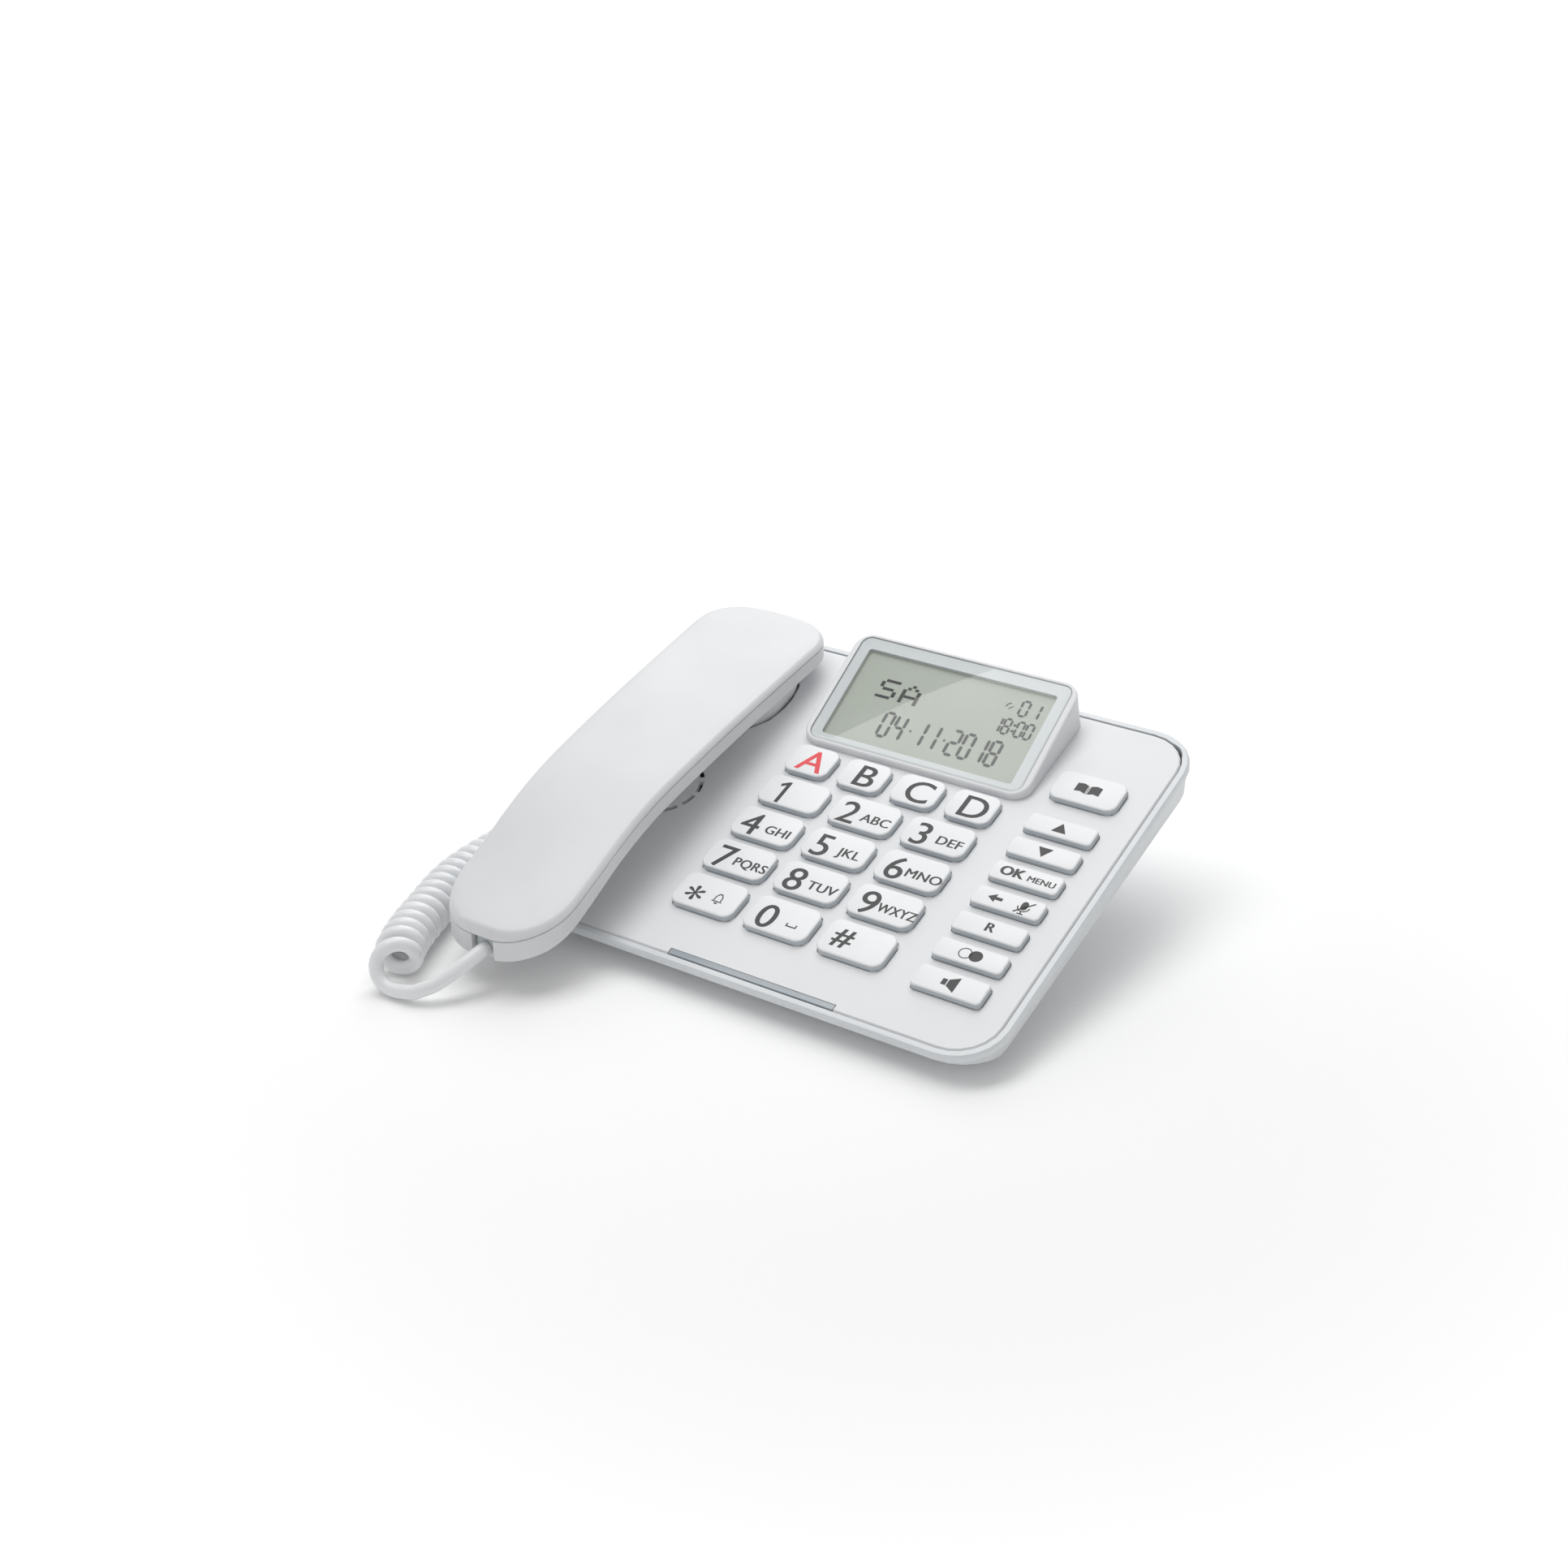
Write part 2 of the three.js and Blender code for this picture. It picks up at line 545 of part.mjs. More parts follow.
// columns across the handset, as fractions of the local half width
const CROSS = [0.5, 0, -0.5];
function handsetLoop(inset, z) {
  const side = handsetSide(inset);
  const last = side[side.length - 1];
  const at = ([x, y]) => [HS_X + x, y, z(y)];
  const right = side.map(at);
  const left = side.map(([x, y]) => at([-x, y])).reverse();
  const farEdge = CROSS.map((f) => at([last[0] * f, last[1]]));
  const nearEdge = CROSS.map((f) => at([-side[0][0] * f, side[0][1]]));
  return [...right, ...farEdge, ...left, ...nearEdge];
}

// across position once the left side has been drawn in towards the near end
function hsAcross(x, y) {
  const share = Math.min(1, Math.max(0, (50 - y) / (50 - HS_NEAR)));
  const right = HS_X + HS_HALF;
  return right - (right - x) * (1 - (HS_TAPER * share) / (2 * HS_HALF));
}

// closed handset body from levels [inset, z(y)], lowest first, with ruled caps
function handsetBody(levels, crown = 0) {
  const loops = levels.map(([inset, z]) => handsetLoop(inset, z));
  const n = loops[0].length;
  const m = handsetSide(0).length;
  const v = loops.flat();
  const t = [];
  for (let k = 0; k + 1 < loops.length; k++) {
    for (let i = 0; i < n; i++) {
      const a = k * n + i;
      const b = k * n + (i + 1) % n;
      t.push([a, b, b + n], [a, b + n, a + n]);
    }
  }
  const cap = (k, lift, flip) => {
    const base = k * n;
    const rowOf = (i) => {
      const right = base + i;
      const left = base + m + 3 + (m - 1 - i);
      if (i === m - 1) return [right, base + m, base + m + 1, base + m + 2, left];
      if (i === 0) return [right, base + n - 1, base + n - 2, base + n - 3, left];
      const [xr, y, z] = v[right];
      const half = xr - HS_X;
      const ids = CROSS.map((f) => {
        v.push([HS_X + half * f, y, z + lift * (1 - f * f)]);
        return v.length - 1;
      });
      return [right, ...ids, left];
    };
    let prev = rowOf(0);
    for (let i = 1; i < m; i++) {
      const next = rowOf(i);
      for (let c = 0; c < 4; c++) {
        const quad = [prev[c], next[c], next[c + 1], prev[c + 1]];
        const [a, b, d, e] = flip ? quad.slice().reverse() : quad;
        t.push([a, b, d], [a, d, e]);
      }
      prev = next;
    }
  };
  cap(loops.length - 1, crown, false);
  cap(0, 0, true);
  return { v: v.map(([x, y, z]) => [hsAcross(x, y), y, z]), t };
}

const upperOuter = handsetBody([
  [0, (y) => hsSeam(y) + SEAM / 2],
  [0.2, (y) => hsSeam(y) + 0.6],
  [HS_BEVEL - 0.7, (y) => hsTop(y) - 0.5],
  [HS_BEVEL + 0.4, (y) => hsTop(y)],
], HS_CROWN);
const upperInner = handsetBody([
  [HS_WALL, (y) => hsSeam(y) - 1],
  [HS_WALL + HS_BEVEL, (y) => hsTop(y) - HS_WALL],
]);
put('handset_upper', cut(upperOuter, upperInner), HANDSET);

// earpiece pad under the far end: runs from inside the handle down to the cup
const padRect = [HS_X - EAR_HALF, HS_X + EAR_HALF, EAR_FRONT, EAR_BACK];
const intoHandle = (v) => {
  const y = v * COS;
  return (hsLow(y) + 1.5 - deckZ(y)) / COS;
};
const PAD_BOTTOM = -CUP_DEPTH + 0.6;
const padOuter = deckLoft(padRect, EAR_R, [
  [2.4, PAD_BOTTOM],
  [0.6, PAD_BOTTOM + 1.8],
  [0, PAD_BOTTOM + 5],
  [-1.2, intoHandle],
], 5);
const padInner = deckLoft(padRect, EAR_R, [
  [3.4, PAD_BOTTOM + HS_WALL],
  [1.8, (v) => intoHandle(v) + 1.5],
], 5);
const lowerOuter = handsetBody([
  [9, hsBelly],
  [3.5, (y) => hsLow(y) - 1.2],
  [0.7, hsLow],
  [0, (y) => hsSeam(y) - SEAM / 2],
]);
const lowerInner = handsetBody([
  [10, (y) => hsBelly(y) + HS_WALL],
  [HS_WALL + 0.7, (y) => hsLow(y) + HS_WALL],
  [HS_WALL, (y) => hsSeam(y) + 1],
]);

// cord socket in the near end and sound holes
const HJ_X = HS_X + 5;         // handset jack position
const HJ_W = 9;
const hjTop = hsSeam(HS_NEAR) - 0.2;
const hjCut = prism(
  roundRect(HJ_X - HJ_W / 2, HJ_X + HJ_W / 2, HS_NEAR - 1, HS_NEAR + 16, 0.3, 1),
  hjTop - 14,
  hjTop + 3,
);
const holeSpots = [[0, 0]];
for (let i = 0; i < 6; i++) holeSpots.push([6 * Math.cos(rad(60 * i)), 6 * Math.sin(rad(60 * i))]);
const padV = (EAR_FRONT + EAR_BACK) / 2;
const earHoles = holeSpots.map(([a, b]) => deckPrism(circle(HS_X + a, padV + b, 1.1, 8), PAD_BOTTOM - 1, PAD_BOTTOM + 4));
const MIC_Y = -88;
const MIC_X = hsAcross(HS_X, MIC_Y);
const micHoles = [-4, 0, 4].map((dx) => prism(
  circle(MIC_X + dx, MIC_Y, 0.9, 8),
  hsBelly(MIC_Y) - 3,
  hsBelly(MIC_Y) + HS_WALL + 1.5,
));
const lowerHandset = cut(join(lowerOuter, padOuter), lowerInner, padInner, hjCut, ...earHoles, ...micHoles);
put('handset_lower', lowerHandset, HANDSET);

const EAR_CAP_R = 14;
put('earpiece_receiver', loft([
  [EAR_CAP_R - 3, PAD_BOTTOM + HS_WALL + 0.3],
  [EAR_CAP_R, PAD_BOTTOM + HS_WALL + 1.2],
  [EAR_CAP_R, PAD_BOTTOM + HS_WALL + 5],
  [EAR_CAP_R - 4, PAD_BOTTOM + HS_WALL + 7],
].map(([r, w]) => circle(HS_X, padV, r, 24).map(([a, b]) => onDeck([a, b, w])))), BLACK);

const micZ = hsBelly(MIC_Y) + HS_WALL + 0.6;
put('microphone', prism(circle(MIC_X, MIC_Y, 4.8, 16), (y) => micZ + (y - MIC_Y) * 0.4, (y) => micZ + 2.6 + (y - MIC_Y) * 0.4), BLACK);

// ---- base and handset jacks with their plugs ----
// a jack block: box with a rectangular socket opened at one face
const PLUG_W = 7.6;
const PLUG_H = 6.2;
const boxAt = (x0, x1, y0, y1, z0, z1) => loft([z0, z1].map((z) => [
  [x0, y0, z],
  [x1, y0, z],
  [x1, y1, z],
  [x0, y1, z],
]));
const JACK_DEEP = 12;
const jackX = STAND_LEFT + 0.2;
put('base_cord_jack', cut(
  boxAt(jackX, jackX + JACK_DEEP, JACK_Y - JACK_W / 2 + FIT, JACK_Y + JACK_W / 2 - FIT,
    JACK_Z - JACK_H / 2 + FIT, JACK_Z + JACK_H / 2 - FIT),
  boxAt(jackX - 1, jackX + JACK_DEEP - 1.5, JACK_Y - PLUG_W / 2 - 0.15, JACK_Y + PLUG_W / 2 + 0.15,
    JACK_Z - PLUG_H / 2 - 0.15, JACK_Z + PLUG_H / 2 + 0.15),
), SOCKET);
const basePlugBack = jackX - 2.5;
put('base_cord_plug', boxAt(basePlugBack, jackX + JACK_DEEP - 3, JACK_Y - PLUG_W / 2, JACK_Y + PLUG_W / 2,
  JACK_Z - PLUG_H / 2, JACK_Z + PLUG_H / 2), PLUG);

const lineBack = STAND_BACK - 0.2;
put('line_jack', cut(
  boxAt(LINE_X - LINE_W / 2 + FIT, LINE_X + LINE_W / 2 - FIT, lineBack - 13, lineBack,
    JACK_Z - JACK_H / 2 + FIT, JACK_Z + JACK_H / 2 - FIT),
  boxAt(LINE_X - 4.9, LINE_X + 4.9, lineBack - 11.5, lineBack + 1, JACK_Z - 3.2, JACK_Z + 3.2),
), SOCKET);

const plugTop = hjTop - 0.4;
const hsPlugZ = plugTop - PLUG_H / 2 - 0.8;
put('handset_jack', cut(
  boxAt(HJ_X - HJ_W / 2 + FIT, HJ_X + HJ_W / 2 - FIT, HS_NEAR + 3.5, HS_NEAR + 15.5,
    hsPlugZ - PLUG_H / 2 - 0.9, hsPlugZ + PLUG_H / 2 + 0.9),
  boxAt(HJ_X - PLUG_W / 2 - 0.15, HJ_X + PLUG_W / 2 + 0.15, HS_NEAR + 2, HS_NEAR + 14,
    hsPlugZ - PLUG_H / 2 - 0.15, hsPlugZ + PLUG_H / 2 + 0.15),
), SOCKET);
const hsPlugFront = HS_NEAR + 2;
put('handset_cord_plug', boxAt(HJ_X - PLUG_W / 2, HJ_X + PLUG_W / 2, hsPlugFront, HS_NEAR + 13.5,
  hsPlugZ - PLUG_H / 2, hsPlugZ + PLUG_H / 2), PLUG);

// ---- cord: two straight leads and the curly part as one fat tube ----
function tube(points, d, steps, sides) {
  const path = new THREE.CatmullRomCurve3(points.map((p) => new THREE.Vector3(...p)), false, 'centripetal');
  const ring = new THREE.Shape(circle(0, 0, d / 2, sides).map(([a, b]) => new THREE.Vector2(a, b)));
  return new THREE.ExtrudeGeometry(ring, { steps, bevelEnabled: false, extrudePath: path });
}
const COIL_X = BASE_LEFT - COIL_D / 2 - 2;
const coilZ = COIL_D / 2 + 0.3;
const COIL_ROUTE = [
  [-72, -131, coilZ],
  [-79.5, -117, coilZ],
  [-85.5, -99, coilZ],
  [COIL_X, -76, coilZ],
  [COIL_X, -50, coilZ],
  [COIL_X + 1, -30, coilZ],
  [COIL_X + 4, -14, coilZ],
];
const LEAD_A = [
  [HJ_X, hsPlugFront - FIT, hsPlugZ],
  [HJ_X, hsPlugFront - FIT - 3, hsPlugZ - 0.2],
  [HJ_X - 1.2, HS_NEAR - 5, hsPlugZ - 2.4],
  [-51, -125, 12],
  [-54.5, -133, 5.5],
  [-60, -138.5, 3.2],
];
const LEAD_B = [
  [COIL_X + 6, -6, 3],
  [COIL_X + 14, 10, 3],
  [-62, 21, 7],
  [basePlugBack - 5, JACK_Y, JACK_Z],
  [basePlugBack - FIT, JACK_Y, JACK_Z],
];
put('cord_coil', tube(COIL_ROUTE, COIL_D, 10, 12), CORD);
put('cord_lead_handset', tube(LEAD_A, CORD_D, 8, 8), CORD);
put('cord_lead_base', tube(LEAD_B, CORD_D, 8, 8), CORD);

// ---- shared frame: origin under the middle of the telephone itself ----
const CORD_NODES = ['cord_coil', 'cord_lead_handset', 'cord_lead_base', 'base_cord_plug', 'handset_cord_plug'];
const bounds = new THREE.Box3();
for (const item of nodes) {
  if (!CORD_NODES.includes(item.name)) bounds.expandByObject(item);
}
const shift = [-(bounds.min.x + bounds.max.x) / 2, -(bounds.min.y + bounds.max.y) / 2, -bounds.min.z];
const root = new THREE.Group();
root.name = 'desk_telephone';
for (const item of nodes) {
  item.geometry.translate(...shift);
  root.add(item);
}
export default root;
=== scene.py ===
"""Corded desk telephone: the visible pieces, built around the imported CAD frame. Metres, +Z up."""

import math

import bpy
import numpy as np
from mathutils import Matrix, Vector


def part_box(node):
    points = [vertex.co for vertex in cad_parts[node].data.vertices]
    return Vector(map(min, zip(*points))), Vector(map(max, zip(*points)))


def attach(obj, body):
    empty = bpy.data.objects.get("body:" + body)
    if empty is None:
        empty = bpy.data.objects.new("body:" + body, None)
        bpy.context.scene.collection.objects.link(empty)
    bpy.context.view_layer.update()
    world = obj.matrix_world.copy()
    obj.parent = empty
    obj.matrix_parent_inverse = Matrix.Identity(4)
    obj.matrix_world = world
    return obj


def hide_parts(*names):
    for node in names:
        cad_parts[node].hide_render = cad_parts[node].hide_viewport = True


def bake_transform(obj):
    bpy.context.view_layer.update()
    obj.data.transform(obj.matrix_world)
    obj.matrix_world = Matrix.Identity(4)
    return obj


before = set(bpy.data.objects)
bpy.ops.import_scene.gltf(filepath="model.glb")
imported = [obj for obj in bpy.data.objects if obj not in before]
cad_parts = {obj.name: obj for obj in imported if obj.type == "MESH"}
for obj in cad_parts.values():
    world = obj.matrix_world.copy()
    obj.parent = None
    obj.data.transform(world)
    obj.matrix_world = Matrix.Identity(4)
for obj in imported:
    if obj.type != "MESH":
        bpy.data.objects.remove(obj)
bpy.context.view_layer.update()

bl_info = {
    "name": "Desk telephone",
    "version": (1, 0, 0),
    "blender": (4, 5, 0),
    "location": "3D View > Sidebar > Telephone",
    "description": "Models a corded big-key desk telephone around its CAD frame",
    "category": "Object",
}

MM = 0.001
TILT = math.radians(16.0)  # the key deck leans towards the user
HOOD_TILT = math.radians(30.6)  # the display leans further
FACE = "key_1"  # the key that sets the deck's height
KEY_RISE = 2.4 * MM
DIGITS = ["1", "2", "3", "4", "5", "6", "7", "8", "9", "star", "0", "hash"]
MEMORY = ["a", "b", "c", "d"]
SIDE = ["up", "down", "ok", "back_mute", "recall", "redial", "speaker"]
KEYS = DIGITS + MEMORY + ["book"] + SIDE
materials = {}


# ---- small helpers ----
def linear(hex_colour, alpha=1.0):
    """An sRGB hex colour as linear RGBA."""
    parts = [int(hex_colour[i : i + 2], 16) / 255 for i in (1, 3, 5)]
    return [p / 12.92 if p <= 0.04045 else ((p + 0.055) / 1.055) ** 2.4 for p in parts] + [alpha]


def tilted_box(name, angle):
    """Lowest and highest corner of a CAD node in a frame turned by angle about X."""
    co = np.array([v.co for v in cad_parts[name].data.vertices], float)
    c, s = math.cos(angle), math.sin(angle)
    turned = np.stack([co[:, 0], co[:, 1] * c + co[:, 2] * s, -co[:, 1] * s + co[:, 2] * c], axis=1)
    return Vector(turned.min(0)), Vector(turned.max(0))


DECK_W = tilted_box(FACE, TILT)[1].z - KEY_RISE  # height of the face in the deck's own frame


def start_clean():
    if bpy.context.object and bpy.context.object.mode != "OBJECT":
        bpy.ops.object.mode_set(mode="OBJECT")
    bpy.ops.object.select_all(action="DESELECT")


def only(obj):
    start_clean()
    obj.select_set(True)
    bpy.context.view_layer.objects.active = obj
    return obj


def settle(obj, angle=0.0):
    """Turns a piece from its flat frame into place, and puts that place in its mesh."""
    only(obj)
    obj.rotation_euler = (angle, 0, 0)
    bpy.ops.object.transform_apply(location=True, rotation=True, scale=True)
    return obj


def pick(obj, kind, test):
    """Selects the vertices, edges or faces that pass a test, and stays in edit mode."""
    only(obj)
    bpy.ops.object.mode_set(mode="EDIT")
    bpy.ops.mesh.select_mode(type=kind)
    bpy.ops.mesh.select_all(action="DESELECT")
    bpy.ops.object.mode_set(mode="OBJECT")
    mesh = obj.data
    items = {"VERT": mesh.vertices, "EDGE": mesh.edges, "FACE": mesh.polygons}[kind]
    count = 0
    for item in items:
        if kind == "EDGE":
            ends = [mesh.vertices[i].co for i in item.vertices]
            item.select = bool(test(*ends))
        elif kind == "FACE":
            item.select = bool(test(item.center, item.normal))
        else:
            item.select = bool(test(item.co))
        count += item.select
    bpy.ops.object.mode_set(mode="EDIT")
    return count


def object_mode():
    bpy.ops.object.mode_set(mode="OBJECT")


def near(a, b, tolerance=1e-5):
    return abs(a - b) < tolerance


def block(name, lo, hi, corner=0.0, segments=6):
    """A box between two corners with rounded upright edges."""
    start_clean()
    lo, hi = Vector(lo), Vector(hi)
    bpy.ops.mesh.primitive_cube_add(size=1, location=(lo + hi) / 2, scale=hi - lo)
    obj = bpy.context.object
    obj.name = obj.data.name = name
    settle(obj)
    if corner:
        pick(obj, "EDGE", lambda a, b: near(a.x, b.x) and near(a.y, b.y))
        bpy.ops.mesh.bevel(offset=corner, segments=segments, affect="EDGES", clamp_overlap=True)
        object_mode()
    return obj


def round_level(obj, z, width, segments=3, profile=0.5):
    """Rounds all the edges that lie at one height."""
    pick(obj, "EDGE", lambda a, b: near(a.z, z) and near(b.z, z))
    bpy.ops.mesh.bevel(offset=width, segments=segments, profile=profile, affect="EDGES")
    object_mode()


def inset_top(obj, z, width, depth):
    """Insets the face at one height and moves it along its normal by depth."""
    pick(obj, "FACE", lambda c, n: near(c.z, z) and abs(n.z) > 0.99)
    bpy.ops.mesh.inset(thickness=width, depth=0)
    bpy.ops.transform.translate(value=(0, 0, depth))
    object_mode()


def finish_mesh(obj, smooth_angle=32.0, recalc=True):
    only(obj)
    if recalc:
        bpy.ops.object.mode_set(mode="EDIT")
        bpy.ops.mesh.select_all(action="SELECT")
        bpy.ops.mesh.remove_doubles(threshold=1e-6)
        bpy.ops.mesh.normals_make_consistent(inside=False)
        object_mode()
    bpy.ops.object.shade_smooth_by_angle(angle=math.radians(smooth_angle))
    return obj


def subtract(obj, tool):
    only(obj)
    cutter = obj.modifiers.new("cut", "BOOLEAN")
    cutter.operation = "DIFFERENCE"
    cutter.solver = "EXACT"
    cutter.object = tool
    bpy.ops.object.modifier_apply(modifier="cut")
    bpy.data.objects.remove(tool)
    return obj


def dress(obj, material, body, slot, *stands_for):
    """Gives a piece its material and body, and hides the CAD nodes it stands for; the slot argument is not used."""
    if material:
        obj.data.materials.clear()
        obj.data.materials.append(materials[material])
    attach(obj, body)
    if stands_for:
        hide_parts(*stands_for)
    return obj


def cad_copy(name, node, bevel=0.0, segments=2, angle=35.0):
    """A merged copy of a CAD node with its sharp edges softened."""
    start_clean()
    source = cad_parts[node]
    obj = bpy.data.objects.new(name, source.data.copy())
    obj.data.name = name
    bpy.context.scene.collection.objects.link(obj)
    only(obj)
    if obj.data.has_custom_normals:
        bpy.ops.mesh.customdata_custom_splitnormals_clear()
    bpy.ops.object.mode_set(mode="EDIT")
    bpy.ops.mesh.select_all(action="SELECT")
    bpy.ops.mesh.remove_doubles(threshold=2e-6)
    bpy.ops.mesh.dissolve_limited(angle_limit=math.radians(0.4), delimit=set())
    object_mode()
    if bevel:
        soft = obj.modifiers.new("soft", "BEVEL")
        soft.width = bevel
        soft.segments = segments
        soft.limit_method = "ANGLE"
        soft.angle_limit = math.radians(28)
        soft.use_clamp_overlap = True
        bpy.ops.object.modifier_apply(modifier="soft")
    bpy.ops.object.shade_smooth_by_angle(angle=math.radians(angle))
    return even_normals(obj)


def even_normals(obj):
    """Lets the large faces set the shading, so that flats stay flat beside their rounded edges."""
    only(obj)
    even = obj.modifiers.new("even", "WEIGHTED_NORMAL")
    even.weight = 100
    even.keep_sharp = True
    bpy.ops.object.modifier_apply(modifier="even")
    return obj


def flat_outlines(name, outlines, thickness, z):
    """A thin printed shape from closed outlines in millimetres; an outline inside another is a hole."""
    start_clean()
    data = bpy.data.curves.new(name, "CURVE")
    data.dimensions = "2D"
    data.fill_mode = "BOTH"
    data.extrude = thickness / 2
    for points in outlines:
        spline = data.splines.new("POLY")
        spline.points.add(len(points) - 1)
        for point, (x, y) in zip(spline.points, points):
            point.co = (x * MM, y * MM, 0, 1)
        spline.use_cyclic_u = True
    obj = bpy.data.objects.new(name, data)
    bpy.context.scene.collection.objects.link(obj)
    only(obj)
    bpy.ops.object.convert(target="MESH")
    obj = bpy.context.object
    obj.location.z = z
    bpy.ops.object.transform_apply(location=True, rotation=False, scale=False)
    return obj


def flat_text(name, text, size, at, z, thickness, weight=0.0, stretch=1.0, spacing=1.0):
    """Printed lettering, size and place in millimetres, centred on its place."""
    start_clean()
    bpy.ops.object.text_add(location=(at[0] * MM, at[1] * MM, z))
    obj = bpy.context.object
    obj.name = name
    data = obj.data
    data.body = text
    data.size = size * MM
    data.align_x = "CENTER"
    data.align_y = "CENTER"
    data.offset = weight * MM
    data.extrude = thickness / 2
    data.space_character = spacing
    data.resolution_u = 5
    obj.scale = (stretch, 1, 1)
    bpy.ops.object.convert(target="MESH")
    obj = bpy.context.object
    bpy.ops.object.transform_apply(location=True, rotation=False, scale=True)
    return obj


def merge_pieces(name, parts):
    start_clean()
    for part in parts:
        part.select_set(True)
    bpy.context.view_layer.objects.active = parts[0]
    if len(parts) > 1:
        bpy.ops.object.join()
    obj = bpy.context.object
    obj.name = obj.data.name = name
    return obj


# ---- materials ----
def add(tree, kind, links=None, **settings):
    """Adds one node with its settings; links maps inputs to values or to other nodes' outputs."""
    item = tree.nodes.new(kind)
    for key, value in settings.items():
        setattr(item, key, value)
    for key, value in (links or {}).items():
        if isinstance(value, bpy.types.NodeSocket):
            tree.links.new(value, item.inputs[key])
        else:
            item.inputs[key].default_value = value
    return item


def surface(name, colour, **sockets):
    """A named material with a principled shader; its even values sit on the shader's own sockets."""
    material = bpy.data.materials.new(name)
    material.use_nodes = True
    tree = material.node_tree
    shader = tree.nodes["Principled BSDF"]
    shader.inputs["Base Color"].default_value = linear(colour)
    for key, value in sockets.items():
        shader.inputs[key.replace("_", " ")].default_value = value
    return material, tree, shader


def grained(name, colour, tone, grain, depth, roughness, spread=0.06, **sockets):
    """Moulded plastic: grain is the size of the surface grain, tone the darker shade of its slow colour drift."""
    material, tree, shader = surface(name, colour, **sockets)
    place = add(tree, "ShaderNodeTexCoord")
    fine = add(tree, "ShaderNodeTexNoise", {"Vector": place.outputs["Object"], "Scale": 1 / grain, "Detail": 3.0})
    slow = add(tree, "ShaderNodeTexNoise", {"Vector": place.outputs["Object"], "Scale": 28.0, "Detail": 2.0})
    drift = add(tree, "ShaderNodeValToRGB", {"Fac": slow.outputs["Fac"]})
    drift.color_ramp.elements[0].position = 0.3
    drift.color_ramp.elements[1].position = 0.7
    drift.color_ramp.elements[0].color = linear(tone)
    drift.color_ramp.elements[1].color = linear(colour)
    tree.links.new(drift.outputs["Color"], shader.inputs["Base Color"])
    sheen = add(tree, "ShaderNodeMapRange",
                {"Value": fine.outputs["Fac"], "To Min": roughness - spread, "To Max": roughness + spread})
    tree.links.new(sheen.outputs["Result"], shader.inputs["Roughness"])
    bump = add(tree, "ShaderNodeBump", {"Height": fine.outputs["Fac"], "Strength": 0.35, "Distance": depth})
    tree.links.new(bump.outputs["Normal"], shader.inputs["Normal"])
    return material


